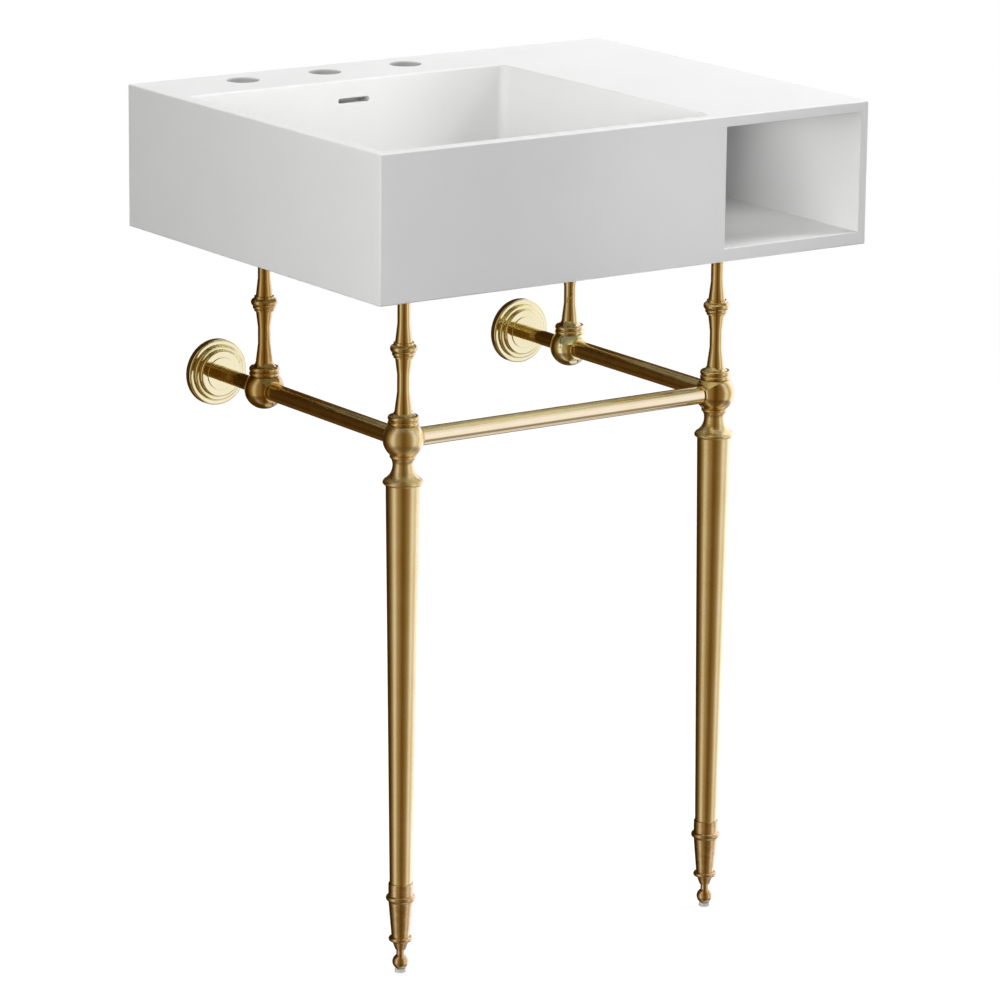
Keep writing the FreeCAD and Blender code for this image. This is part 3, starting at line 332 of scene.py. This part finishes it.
# The wall arms take shaded copies of the brass: painted shade, darker on the left.
LEFT_ARM_BRASS = replace(DARK_SHADED_BRASS, name="left_arm_brass", slot="polished_brass")
RIGHT_ARM_BRASS = replace(HONED_SHADED_BRASS, name="right_arm_brass", slot="polished_brass")
RAW_BRASS = Finish("raw_brass", "turned_brass", (0.72, 0.55, 0.28), (0.55, 0.38, 0.17),
                   metallic=1.0, roughness=0.38, unevenness=0.08, line_depth=0.01)
SCREW_STEEL = Finish("screw_steel", "steel_screw", (0.60, 0.60, 0.61), (0.44, 0.44, 0.45),
                     metallic=1.0, roughness=0.30, unevenness=0.08, line_depth=0.004)
PAD_RUBBER = Finish("pad_rubber", "black_rubber", (0.035, 0.035, 0.036), (0.018, 0.018, 0.019),
                    metallic=0.0, roughness=0.75, unevenness=0.10,
                    grit_scale=1400.0, grit_depth=0.03)
GLIDE_NYLON = Finish("glide_nylon", "white_plastic", (0.95, 0.94, 0.92), (0.90, 0.89, 0.87),
                     metallic=0.0, roughness=0.45, unevenness=0.06, grit_scale=1200.0)


# ---- Making pieces --------------------------------------------------------------------

@dataclass(frozen=True)
class Knot:
    """A corner of a turned outline, in millimetres."""

    radius: float
    level: float
    swell: float = 0.0


def crown(across: float, along: float) -> float:
    """How far an arc swells that ends square to its widest point.

    Args:
        across: the difference in radius between the arc's ends.
        along: their difference in level.

    Returns:
        The arc's height over its chord.
    """
    radius = (across ** 2 + along ** 2) / (2 * across)
    return radius - math.sqrt(radius ** 2 - (across ** 2 + along ** 2) / 4)


def trace(knots: Sequence[Knot], step: float = 9.0) -> list[Vector]:
    """Turn an outline's corners into points.

    Args:
        knots: the corners, in order; a positive swell bows a stretch to the right of the way.
        step: the largest turn between two points of an arc, in degrees.

    Returns:
        Points with the radius as X and the level as Y.
    """
    points = []
    for number, knot in enumerate(knots):
        following = knots[(number + 1) % len(knots)]
        start = Vector((knot.radius, knot.level))
        points.append(start)
        if not knot.swell:
            continue
        chord = Vector((following.radius, following.level)) - start
        half, rise = chord.length / 2, abs(knot.swell)
        radius = (half ** 2 + rise ** 2) / (2 * rise)
        spread = math.atan2(half, radius - rise)
        way = chord.normalized()
        outward = Vector((way.y, -way.x)) * math.copysign(1.0, knot.swell)
        count = max(2, math.ceil(math.degrees(2 * spread) / step))
        for index in range(1, count):
            turn = spread * (2 * index / count - 1)
            along = half + radius * math.sin(turn)
            points.append(start + way * along
                          + outward * (radius * math.cos(turn) - radius + rise))
    return points


class Axis(Enum):
    """The direction in which a turned piece's levels rise."""

    UP = Matrix.Identity(4)
    ALONG_X = Matrix.Rotation(math.radians(90), 4, "Y")
    ALONG_Y = Matrix.Rotation(math.radians(-90), 4, "X")


class Maker:
    """Builds meshes and enters them in the frame."""

    sharp = math.radians(24)

    @staticmethod
    def lathe(bm: bmesh.types.BMesh, knots: Sequence[Knot], steps: int = 96,
              closed: bool = True) -> None:
        """Spin an outline all the way round the upright axis.

        Args:
            bm: the mesh to add to.
            knots: the outline's corners.
            steps: how many stretches the full turn has.
            closed: whether the outline's last corner joins its first.
        """
        verts = [bm.verts.new((point.x * MM, 0.0, point.y * MM)) for point in trace(knots)]
        pairs = list(zip(verts, verts[1:])) + ([(verts[-1], verts[0])] if closed else [])
        edges = [bm.edges.new(pair) for pair in pairs
                 if max(abs(pair[0].co.x), abs(pair[1].co.x)) > 1e-9]
        bmesh.ops.spin(bm, geom=[*verts, *edges], cent=(0, 0, 0), axis=(0, 0, 1),
                       angle=2 * math.pi, steps=steps, use_merge=True)
        bmesh.ops.remove_doubles(bm, verts=bm.verts, dist=1e-7)

    @classmethod
    def soften(cls, bm: bmesh.types.BMesh, width: float) -> None:
        """Bevel every crisp edge.

        Args:
            bm: the mesh.
            width: the bevel's width in millimetres.
        """
        bmesh.ops.recalc_face_normals(bm, faces=bm.faces)
        crisp = [edge for edge in bm.edges
                 if edge.is_manifold and edge.calc_face_angle(0.0) > cls.sharp]
        bmesh.ops.bevel(bm, geom=crisp, offset=width * MM, offset_type="OFFSET", segments=2,
                        profile=0.5, affect="EDGES", clamp_overlap=True, material=-1)

    @staticmethod
    def finish(name: str, bm: bmesh.types.BMesh, look: Finish, grain: Grain, nodes: Sequence[str],
               body: str = "root") -> bpy.types.Object:
        """Turn a mesh into a piece that stands for CAD nodes.

        Args:
            name: the piece's name.
            bm: its mesh, which is freed.
            look: its finish.
            grain: the way that the finish's lines run.
            nodes: the CAD nodes that it replaces.
            body: the body that it rides on.

        Returns:
            The piece's object.
        """
        mesh = bpy.data.meshes.new(name)
        bm.to_mesh(mesh)
        bm.free()
        mesh.polygons.foreach_set("use_smooth", [True] * len(mesh.polygons))
        piece = bpy.data.objects.new(name, mesh)
        bpy.context.scene.collection.objects.link(piece)
        mesh.materials.append(look.material(grain))
        normals = piece.modifiers.new("flat_faces", "WEIGHTED_NORMAL")
        normals.keep_sharp = True
        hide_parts(*nodes)
        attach(piece, body)
        log.info("%s: %d faces on %s", name, len(mesh.polygons), body)
        return piece

    @classmethod
    def turned(cls, node: str, knots: Sequence[Knot], look: Finish, place: Point,
               grain: Grain = Grain.TURNED, axis: Axis = Axis.UP, soft: float = 0.25,
               steps: int = 96, body: str = "root") -> bpy.types.Object:
        """Make a turned piece that replaces one node.

        Args:
            node: the CAD node.
            knots: the outline, whose levels start from the place.
            look: its finish.
            place: where the outline's axis crosses level 0, in metres.
            grain: the way that the finish's lines run.
            axis: the direction in which the levels rise.
            soft: the width of the bevel on crisp edges, in millimetres.
            steps: how many stretches the full turn has.
            body: the body that it rides on.

        Returns:
            The piece's object.
        """
        bm = bmesh.new()
        cls.lathe(bm, knots, steps)
        cls.soften(bm, soft)
        bmesh.ops.transform(bm, matrix=Matrix.Translation(place) @ axis.value, verts=bm.verts)
        bmesh.ops.recalc_face_normals(bm, faces=bm.faces)
        return cls.finish(f"{node}_turned", bm, look, grain, [node], body)

    @classmethod
    def smoothed(cls, node: str, look: Finish, grain: Grain = Grain.EVEN,
                 body: str = "root") -> bpy.types.Object:
        """Make a merged, smoothly shaded copy of a node.

        Args:
            node: the CAD node.
            look: its finish.
            grain: the way that the finish's lines run.
            body: the body that it rides on.

        Returns:
            The piece's object.
        """
        bm = bmesh.new()
        bm.from_mesh(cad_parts[node].data)
        bmesh.ops.remove_doubles(bm, verts=bm.verts, dist=1e-6)
        for edge in bm.edges:
            edge.smooth = not edge.is_manifold or edge.calc_face_angle(0.0) < cls.sharp
        for layer in list(bm.loops.layers.uv):
            bm.loops.layers.uv.remove(layer)
        return cls.finish(f"{node}_smooth", bm, look, grain, [node], body)


def dress(node: str, look: Finish, grain: Grain = Grain.EVEN) -> None:
    """Give a CAD node that keeps its own mesh its finish."""
    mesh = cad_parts[node].data
    mesh.materials.clear()
    mesh.materials.append(look.material(grain))
    log.info("%s: kept, in %s", node, look.name)


def axis_of(node: str) -> tuple[float, float]:
    """Where a node's upright axis stands in plan, in metres."""
    low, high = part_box(node)
    return (low.x + high.x) / 2, (low.y + high.y) / 2


# ---- Basin ----------------------------------------------------------------------------

@dataclass
class SocketScrew:
    """A turned screw with a hexagon socket in its head, which faces down."""

    knots: list[Knot]
    socket: float
    depth: float
    steps: int = 24

    def mesh(self) -> bmesh.types.BMesh:
        """Build one screw about the upright axis.

        Returns:
            Its mesh, closed by the socket.
        """
        bm = bmesh.new()
        Maker.lathe(bm, self.knots, self.steps, closed=False)
        rim = [edge for edge in bm.edges if edge.is_boundary]
        face = math.pi / 3
        for vert in {vert for edge in rim for vert in edge.verts}:
            turn = math.atan2(vert.co.y, vert.co.x)
            reach = self.socket * MM / math.cos(turn % face - face / 2)
            vert.co.x, vert.co.y = reach * math.cos(turn), reach * math.sin(turn)
        sunk = bmesh.ops.extrude_edge_only(bm, edges=rim)["geom"]
        floor = [item for item in sunk if isinstance(item, bmesh.types.BMVert)]
        bmesh.ops.translate(bm, vec=(0, 0, self.depth * MM), verts=floor)
        bmesh.ops.holes_fill(bm, edges=[edge for edge in bm.edges if edge.is_boundary])
        bmesh.ops.recalc_face_normals(bm, faces=bm.faces)
        for edge in bm.edges:
            edge.smooth = not edge.is_manifold or edge.calc_face_angle(0.0) < Maker.sharp
        return bm

    def scatter(self, node: str, places: Sequence[Point], look: Finish) -> bpy.types.Object:
        """Put a copy at every place.

        Args:
            node: the CAD node that the screws replace.
            places: where the screws' axes cross level 0, in metres.
            look: their finish.

        Returns:
            The piece's object.
        """
        group = bmesh.new()
        for place in places:
            single = bpy.data.meshes.new("screw")
            one = self.mesh()
            bmesh.ops.translate(one, vec=place, verts=one.verts)
            one.to_mesh(single)
            one.free()
            group.from_mesh(single)
            bpy.data.meshes.remove(single)
        return Maker.finish(f"{node}_socketed", group, look, Grain.EVEN, [node])


@dataclass
class Basin:
    """The cast basin with its inserts, pads and plate screws."""

    corners: list[str]
    screw_circle: float = 20.0
    plate_base: float = 729.0
    screw_knots: list[Knot] = field(default_factory=lambda: [
        Knot(2.1, 0.0), Knot(4.55, 0.0), Knot(4.75, 0.25), Knot(2.5, 2.3), Knot(2.5, 13.4),
        Knot(1.9, 14.0), Knot(0.0, 14.0),
    ])

    def casting(self) -> None:
        """The basin itself."""
        Maker.smoothed("basin", SOLID_SURFACE)

    def fixings(self) -> None:
        """Inserts, pads and screws under the basin."""
        dress("basin_inserts", RAW_BRASS)
        Maker.smoothed("basin_pads", PAD_RUBBER)
        places = []
        for corner in self.corners:
            x, y = axis_of(f"{corner}_tie_rod")
            for third in range(3):
                turn = 2 * math.pi * third / 3
                places.append((x + self.screw_circle * MM * math.cos(turn),
                               y + self.screw_circle * MM * math.sin(turn), self.plate_base * MM))
        SocketScrew(self.screw_knots, socket=1.5, depth=1.8).scatter("plate_screws", places,
                                                                     SCREW_STEEL)

    def build(self) -> None:
        """Build and dress the basin."""
        self.casting()
        self.fixings()


# ---- Posts and legs --------------------------------------------------------------------

@dataclass
class Post:
    """One turned post, from the mounting plate down to its ball."""

    corner: str
    look: Finish
    ball_look: Finish
    bore: float = 3.1
    plate_base: float = 729.0
    collar_height: float = 4.0
    collar_radius: float = 11.5
    collar_swell: float = 1.7
    end_radius: float = 8.8
    waist_radius: float = 6.3
    knop_low: float = 651.0
    knop_high: float = 667.0
    band_radius: float = 10.4
    bead_radius: float = 12.0
    groove_radius: float = 11.6
    knop_radius: float = 13.9
    cushion_low: float = 581.38
    cushion_height: float = 10.2
    cushion_radius: float = 16.0
    cushion_waist: float = 14.6
    flare_radius: float = 12.75
    flare_height: float = 7.0

    @property
    def foot(self) -> Point:
        """Where the post's axis meets the floor, in metres."""
        return (*axis_of(f"{self.corner}_tie_rod"), 0.0)

    def turn(self, part: str, knots: Sequence[Knot], **options: object) -> None:
        """Turn one of the post's parts."""
        Maker.turned(f"{self.corner}_{part}", knots, self.look, self.foot, **options)

    def upper_spindle(self) -> None:
        """The waisted shank over the knop, with its collar."""
        collar = self.plate_base - self.collar_height
        waist = self.waist_radius - self.end_radius
        self.turn("upper_spindle", [
            Knot(self.bore, self.knop_high), Knot(self.end_radius, self.knop_high, waist),
            Knot(self.end_radius, collar), Knot(self.collar_radius, collar, self.collar_swell),
            Knot(self.collar_radius, self.plate_base), Knot(self.bore, self.plate_base),
        ])

    def knop(self) -> None:
        """Two beads between plain bands."""
        low, high = self.knop_low, self.knop_high
        small = self.bead_radius - self.band_radius
        dip = self.bead_radius - self.groove_radius
        half = (high - 2.5 - (low + 5.6)) / 2
        large = self.knop_radius - self.groove_radius
        over = self.knop_radius - self.band_radius
        self.turn("knop", [
            Knot(self.bore, low), Knot(self.band_radius, low),
            Knot(self.band_radius, low + 2.0, crown(small, 2.0)),
            Knot(self.bead_radius, low + 4.0, crown(dip, 1.6)),
            Knot(self.groove_radius, low + 5.6, crown(large, half)),
            Knot(self.knop_radius, low + 5.6 + half, crown(over, half)),
            Knot(self.band_radius, high - 2.5), Knot(self.band_radius, high),
            Knot(self.bore, high),
        ], soft=0.18)

    def lower_spindle(self) -> None:
        """The waisted shank under the knop, which flares into two rings."""
        low = self.cushion_low
        ring = self.cushion_height / 2
        swell = self.cushion_radius - self.cushion_waist
        top = low + self.cushion_height
        flare = -1.08
        self.turn("lower_spindle", [
            Knot(self.bore, low), Knot(self.cushion_waist, low, swell),
            Knot(self.cushion_waist, low + ring, swell), Knot(self.cushion_waist, top),
            Knot(self.flare_radius, top, flare),
            Knot(self.end_radius, top + self.flare_height, self.waist_radius - self.end_radius),
            Knot(self.end_radius, self.knop_low), Knot(self.bore, self.knop_low),
        ], soft=0.18)

    def build(self) -> None:
        """Build and dress the whole post."""
        Maker.smoothed(f"{self.corner}_mounting_plate", self.look)
        dress(f"{self.corner}_tie_rod", SCREW_STEEL)
        self.upper_spindle()
        self.knop()
        self.lower_spindle()
        Maker.smoothed(f"{self.corner}_ball_joint", self.ball_look)


@dataclass
class Leg:
    """One front leg, from the ball joint down to its foot."""

    side: str
    look: Finish

    @property
    def foot(self) -> Point:
        """Where the leg's axis meets the floor, in metres."""
        return (*axis_of(f"front_{self.side}_tie_rod"), 0.0)

    def turn(self, part: str, knots: Sequence[Knot], **options: object) -> None:
        """Turn one of the leg's parts."""
        options.setdefault("look", self.look)
        Maker.turned(f"front_{self.side}_{part}", knots, place=self.foot, **options)

    def neck(self) -> None:
        """The vase-shaped neck over the leg tube."""
        self.turn("leg_neck", [
            Knot(0.0, 505.0), Knot(15.4, 505.0), Knot(15.9, 520.0), Knot(19.4, 520.0),
            Knot(19.9, 520.5, 1.0), Knot(19.9, 524.3), Knot(19.6, 525.0, -crown(8.8, 15.5)),
            Knot(10.8, 540.5, -crown(2.0, 6.93)), Knot(12.8, 547.43), Knot(13.1, 547.6, 0.75),
            Knot(13.1, 550.6), Knot(12.9, 550.83), Knot(3.1, 550.83), Knot(3.1, 524.7),
            Knot(0.0, 524.7),
        ], soft=0.2)

    def tube(self) -> None:
        """The long tapered tube."""
        self.turn("leg_tube", [
            Knot(9.9, 85.0), Knot(11.5, 85.0), Knot(17.69, 519.6), Knot(17.4, 519.95),
            Knot(16.1, 519.95),
        ], grain=Grain.UPRIGHT, soft=0.12, steps=128)

    def ferrule(self) -> None:
        """The turned foot of the leg."""
        bead = 15.5 - 12.9
        self.turn("leg_ferrule", [
            Knot(3.56, 24.6), Knot(5.4, 24.6), Knot(8.8, 33.8, crown(3.6, 2.5)),
            Knot(12.4, 36.3, crown(3.0, 2.5)), Knot(9.4, 38.8), Knot(12.6, 75.3),
            Knot(12.3, 75.7), Knot(12.3, 76.4), Knot(12.9, 77.1),
            Knot(12.9, 77.5, crown(bead, 3.2)), Knot(15.5, 80.7, crown(bead, 3.2)),
            Knot(12.9, 83.9), Knot(12.9, 96.3), Knot(12.3, 97.0), Knot(11.8, 97.0),
            Knot(11.7, 85.0), Knot(0.0, 85.0),
            Knot(0.0, 58.9), Knot(3.56, 58.9),
        ], look=GRAINY_BRASS, soft=0.2)

    def levelling_foot(self) -> None:
        """The ball foot on its stud, and the glide under it."""
        body = f"front_{self.side}_foot"
        self.turn("levelling_foot", [
            Knot(0.0, 2.8, 8.4 * (1 - math.cos(math.pi / 4))), Knot(8.4, 11.2, crown(4.1, 7.22)),
            Knot(4.3, 18.42), Knot(4.1, 18.9), Knot(4.3, 19.4), Knot(4.3, 24.3), Knot(3.5, 24.3),
            Knot(3.5, 58.6), Knot(0.0, 58.6),
        ], look=GRAINY_BRASS, soft=0.1, steps=64, body=body)
        self.turn("foot_glide", [
            Knot(0.0, 0.0), Knot(5.8, 0.0), Knot(5.8, 3.6), Knot(3.8, 3.6, -0.22), Knot(0.0, 2.7),
        ], look=GLIDE_NYLON, grain=Grain.EVEN, soft=0.3, steps=64, body=body)

    def build(self) -> None:
        """Build and dress the whole leg."""
        self.neck()
        self.tube()
        self.ferrule()
        self.levelling_foot()


# ---- Rails and wall fixings --------------------------------------------------------------

@dataclass
class Rails:
    """The three rails between the balls, with their grub screws."""

    radius: float = 9.5
    wall: float = 1.5
    level: float = 567.0
    screw_reach: float = 16.2
    screw_depth: float = 3.3
    arm_screw_lift: float = 1.5

    def rail(self, node: str, axis: Axis, look: Finish, grain: Grain) -> None:
        """A straight tube between two sockets.

        Args:
            node: the CAD node.
            axis: the direction that it runs in.
            look: its finish.
            grain: the way that the finish's lines run.
        """
        low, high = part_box(node)
        middle = (low + high) / 2
        length = max(high - low) / MM
        place = (low.x, middle.y, middle.z) if axis is Axis.ALONG_X else (middle.x, low.y, middle.z)
        inner = self.radius - self.wall
        Maker.turned(node, [
            Knot(inner, 0.0), Knot(self.radius, 0.0), Knot(self.radius, length / 3),
            Knot(self.radius, length * 2 / 3), Knot(self.radius, length), Knot(inner, length),
        ], look, place, grain=grain, axis=axis, soft=0.3)

    def grub_screws(self) -> None:
        """The screws under the balls that lock the rails and arms."""
        places = []
        reach = self.screw_reach * MM
        low = (self.level - self.radius - self.screw_depth) * MM
        for side in ("left", "right"):
            x, y = axis_of(f"front_{side}_tie_rod")
            inward = reach if side == "left" else -reach
            places += [(x + inward, y, low), (x, y + reach, low)]
            x, y = axis_of(f"rear_{side}_tie_rod")
            places += [(x, y - reach, low), (x, y + reach, low + self.arm_screw_lift * MM)]
        SocketScrew([Knot(1.15, 0.0), Knot(1.7, 0.0), Knot(2.0, 0.3), Knot(2.0, 2.8),
                     Knot(1.8, 3.0), Knot(0.0, 3.0)], socket=0.9, depth=1.4).scatter(
            "rail_grub_screws", places, SCREW_STEEL)

    def build(self) -> None:
        """Build and dress the rails."""
        self.rail("front_rail", Axis.ALONG_X, RAIL_BRASS, Grain.SIDEWAYS)
        for side in ("left", "right"):
            self.rail(f"{side}_side_rail", Axis.ALONG_Y, BROWN_BRASS, Grain.INWARD)
        self.grub_screws()


@dataclass
class WallFixing:
    """The arm from a rear ball to the wall, with its stepped flange."""

    side: str
    arm_look: Finish
    arm_radius: float = 8.0
    wall: float = 1.5
    steps: tuple[tuple[float, float, float], ...] = (
        (25.2, -15.0, -11.5), (30.0, -11.5, -8.0), (35.5, -8.0, 0.0),
    )
    soft: float = 1.75
    groove: float = 0.55
    dome: float = 0.12

    def arm(self) -> None:
        """The short tube."""
        node = f"{self.side}_wall_arm"
        low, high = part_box(node)
        length = (high.y - low.y) / MM
        inner = self.arm_radius - self.wall
        Maker.turned(node, [
            Knot(inner, 0.0), Knot(self.arm_radius, 0.0), Knot(self.arm_radius, length),
            Knot(inner, length),
        ], self.arm_look, ((low.x + high.x) / 2, low.y, (low.z + high.z) / 2),
            grain=Grain.INWARD, axis=Axis.ALONG_Y, soft=0.3)

    def flange(self) -> None:
        """The stepped rosette against the wall; level 0 is the wall's face."""
        node = f"{self.side}_wall_flange"
        low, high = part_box(node)
        bow = 1 - math.cos(math.pi / 4)
        knots = [
            Knot(33.7, 0.0), Knot(33.7, -6.2), Knot(28.2, -6.2), Knot(8.1, -13.2),
            Knot(8.1, -16.0), Knot(17.2, -16.0, 0.3 * bow), Knot(17.5, -15.7),
            Knot(17.5, -15.0, self.dome),
        ]
        for radius, front, back in self.steps:
            knots += [Knot(radius - self.soft, front, self.soft * bow),
                      Knot(radius, front + self.soft)]
            if back:
                knots += [Knot(radius, back + self.groove),
                          Knot(radius + self.groove, back, self.dome)]
        knots.append(Knot(self.steps[-1][0], 0.0))
        Maker.turned(node, knots, POLISHED_BRASS,
                     ((low.x + high.x) / 2, high.y, (low.z + high.z) / 2),
                     grain=Grain.EVEN, axis=Axis.ALONG_Y, soft=0.08, steps=128)

    def build(self) -> None:
        """Build and dress the fixing."""
        self.arm()
        self.flange()
        dress(f"{self.side}_wall_plate", SCREW_STEEL)


# ---- Studio -----------------------------------------------------------------------------

@dataclass(frozen=True)
class Lamp:
    """A soft lamp that points at the object: a square, or a spot where it has a cone."""

    name: str
    place: Point
    size: float
    power: float
    target: Point = (0.0, 0.0, 0.6)
    cone: float = 0.0

    def build(self) -> None:
        """Add the lamp; what shines in the metal is the world's own soft light."""
        data = bpy.data.lights.new(self.name, "SPOT" if self.cone else "AREA")
        if self.cone:
            data.spot_size = math.radians(self.cone)
            data.spot_blend = 1.0
            data.shadow_soft_size = self.size / 2
        else:
            data.shape = "SQUARE"
            data.size = self.size
        data.energy = self.power
        lamp = bpy.data.objects.new(self.name, data)
        bpy.context.scene.collection.objects.link(lamp)
        lamp.location = self.place
        lamp.rotation_mode = "QUATERNION"
        ahead = Vector(self.target) - Vector(self.place)
        lamp.rotation_quaternion = ahead.to_track_quat("-Z", "Y")
        lamp.visible_glossy = False
        lamp.visible_camera = False


@dataclass
class Studio:
    """Pale floor, soft lamps and the white surroundings.

    The heights high, low and ground are how steeply a reflection rises or dips before the
    soft light around gives way to the dimmer parts over and under it.
    """

    ambient: float = 0.13
    floor_tone: float = 0.28
    floor_lift: float = 0.82
    floor_radius: float = 12.0
    mist_start: float = 1.4
    mist_width: float = 2.2
    high: float = 0.30
    high_width: float = 0.12
    high_dimming: float = 0.12
    low: float = 0.46
    low_share: float = 0.7
    ground: float = 0.72
    ground_share: float = 0.45
    low_width: float = 0.10
    dusk: float = 0.12
    lamps: list[Lamp] = field(default_factory=lambda: [
        Lamp("key", (2.21, -0.36, 3.12), 1.28, 76.0, (0.0, 0.0, 0.88)),
        Lamp("behind", (0.3, 2.2, 3.0), 2.0, 40.0),
        Lamp("left_high", (-2.6, -0.6, 2.8), 1.6, 25.5),
        Lamp("left_near", (-1.5, -0.9, 1.2), 0.8, 7.5, (-0.3, -0.1, 0.8)),
        Lamp("front_near", (-1.4, -1.2, 1.0), 0.8, 4.5, (-0.2, 0.0, 0.8)),
        Lamp("right", (3.4, -1.2, 1.4), 2.0, 52.0),
        Lamp("frontal", (-2.4, -3.5, 1.5), 1.0, 10.0),
        Lamp("shelf", (-0.54, -1.03, 0.95), 0.2, 9.5, (0.215, -0.16, 0.80), 26.0),
        Lamp("shelf_fill", (0.205, -0.13, 0.866), 0.1, 0.042, (0.205, -0.14, 0.745)),
        Lamp("bowl", (-0.02, -0.14, 0.905), 0.05, 0.45, (-0.16, 0.143, 0.84), 100.0),
        Lamp("under", (0.05, -0.19, 0.35), 0.1, 3.2, (0.05, -0.19, 0.735), 72.0),
    ])
    sky: tuple[tuple[float, float], ...] = (
        (-180, 0.29), (-170, 0.25), (-161, 0.17), (-148, 0.13), (-138, 0.18), (-126, 0.32),
        (-110, 0.38), (-101, 0.46), (-95, 0.80), (-84, 0.90), (-76, 0.70), (-68, 0.36), (-50, 0.18),
        (-35, 0.05), (0, 0.05), (25, 0.06), (40, 0.12), (46, 0.90), (60, 1.30), (78, 1.60),
        (104, 1.30), (118, 0.66), (128, 0.72), (138, 0.97), (151, 1.02), (157, 0.60), (168, 0.38),
        (180, 0.28),
    )

    def world(self) -> None:
        """White to the camera, with soft light and shade around for the metal to show."""
        world = bpy.data.worlds.new("studio")
        bpy.context.scene.world = world
        world.use_nodes = True
        bench = Bench(world.node_tree)
        way = bench.add("ShaderNodeTexCoord", output="Generated")
        axes = bench.add("ShaderNodeSeparateXYZ", {}, {0: way})
        x, y, z = (axes.beside(index) for index in range(3))
        turn = x.maths("ARCTAN2", x, y) / (2 * math.pi) + 0.5
        stops = [((angle + 180) / 360, self._tone(value)) for angle, value in self.sky]
        round_about = bench.add("ShaderNodeValToRGB", {"stops": stops}, {0: turn})
        above = z.rise(self.high, self.high_width)
        down = z * -1.0
        below = down.rise(self.low, self.low_width)
        ground = down.rise(self.ground, self.low_width)
        dimmed = bench.blend(above * self.high_dimming, round_about, (0.0, 0.0, 0.0))
        dusk = self._tone(self.dusk)
        low = bench.blend(below, dimmed, bench.blend(self.low_share, round_about, dusk))
        shown = bench.blend(ground, low, bench.blend(self.ground_share, round_about, dusk))
        path = bench.add("ShaderNodeLightPath", output="Is Camera Ray")
        seen = path.maths("MAXIMUM", path, path.beside("Is Transmission Ray"))
        light = bench.blend(path.beside("Is Glossy Ray"), (self.ambient,) * 3, shown)
        colour = bench.blend(seen, light, (1.0, 1.0, 1.0))
        background = bench.add("ShaderNodeBackground", {}, {"Color": colour, "Strength": 1.0})
        bench.add("ShaderNodeOutputWorld", {}, {"Surface": background})

    @staticmethod
    def _tone(value: float) -> Colour:
        """A grey that turns to warm brown as it darkens."""
        warm = value / 0.66
        blue = max(0.12, 1.1 * min(1.45, warm) - 0.06)
        return value, value * (0.46 + 0.56 * min(1.0, warm)), value * blue

    def floor(self) -> None:
        """A pale floor that fades into the white surroundings."""
        bm = bmesh.new()
        bmesh.ops.create_circle(bm, cap_ends=True, segments=64, radius=self.floor_radius)
        mesh = bpy.data.meshes.new("floor")
        bm.to_mesh(mesh)
        bm.free()
        ground = bpy.data.objects.new("floor", mesh)
        bpy.context.scene.collection.objects.link(ground)
        ground.visible_glossy = False
        paint = bpy.data.materials.new("floor_paint")
        paint.use_nodes = True
        bench = Bench(paint.node_tree)
        place = bench.add("ShaderNodeTexCoord", output="Object")
        mist = bench.length(place).rise(self.mist_start, self.mist_width)
        camera = bench.add("ShaderNodeLightPath", output="Is Camera Ray")
        matt = bench.add("ShaderNodeBsdfDiffuse", {}, {"Color": (*(self.floor_tone,) * 3, 1.0)})
        lift = bench.add("ShaderNodeEmission", {}, {"Color": (1, 1, 1, 1),
                                                   "Strength": camera * self.floor_lift})
        lit = bench.add("ShaderNodeAddShader", {}, {0: matt, 1: lift})
        white = bench.add("ShaderNodeEmission", {}, {"Color": (1, 1, 1, 1), "Strength": 1.0})
        shader = bench.add("ShaderNodeMixShader", {}, {0: mist * camera, 1: lit, 2: white})
        bench.add("ShaderNodeOutputMaterial", {}, {"Surface": shader})
        mesh.materials.append(paint)

    def build(self) -> None:
        """Set up the whole studio."""
        self.world()
        self.floor()
        for lamp in self.lamps:
            lamp.build()


@dataclass(frozen=True)
class Viewpoint:
    """The camera, at the photograph's viewing angle."""

    place: Point = (-2.9347, -4.2672, 1.7602)
    turn: float = 34.604
    dip: float = 14.194
    lean: float = 0.593
    lens: float = 182.34

    def build(self) -> None:
        """Add the camera and make it the scene's own."""
        turn, dip, lean = (math.radians(angle) for angle in (self.turn, self.dip, self.lean))
        ahead = Vector((math.sin(turn) * math.cos(dip), math.cos(turn) * math.cos(dip),
                        -math.sin(dip)))
        right = Vector((math.cos(turn), -math.sin(turn), 0.0))
        up = right.cross(ahead)
        right, up = (right * math.cos(lean) + up * math.sin(lean),
                     up * math.cos(lean) - right * math.sin(lean))
        data = bpy.data.cameras.new("camera")
        data.lens = self.lens
        data.sensor_width = 36.0
        data.clip_end = 60.0
        camera = bpy.data.objects.new("camera", data)
        bpy.context.scene.collection.objects.link(camera)
        camera.matrix_world = Matrix.Translation(self.place) @ Matrix(
            (right, up, -ahead)).transposed().to_4x4()
        bpy.context.scene.camera = camera


def main() -> None:
    """Build every sub-assembly, the studio and the camera."""
    logging.basicConfig(level=logging.INFO, format="%(message)s")
    bpy.context.scene.view_settings.view_transform = "Standard"
    Viewpoint().build()
    Basin(["front_left", "front_right", "rear_left", "rear_right"]).build()
    # The posts take lit and shaded copies of the brass: their darker tones are painted shade.
    Post("front_left", HONED_SHADED_BRASS, SATIN_BRASS).build()
    Post("front_right", HONED_SHADED_BRASS, HONED_SHADED_BRASS).build()
    Post("rear_left", DARK_SHADED_BRASS, DARK_SHADED_BRASS).build()
    Post("rear_right", POLISHED_SHADED_BRASS, POLISHED_BRASS).build()
    for side in ("left", "right"):
        Leg(side, SATIN_BRASS).build()
    Rails().build()
    WallFixing("left", LEFT_ARM_BRASS).build()
    WallFixing("right", RIGHT_ARM_BRASS).build()
    Studio().build()


if __name__ == "__main__":
    main()
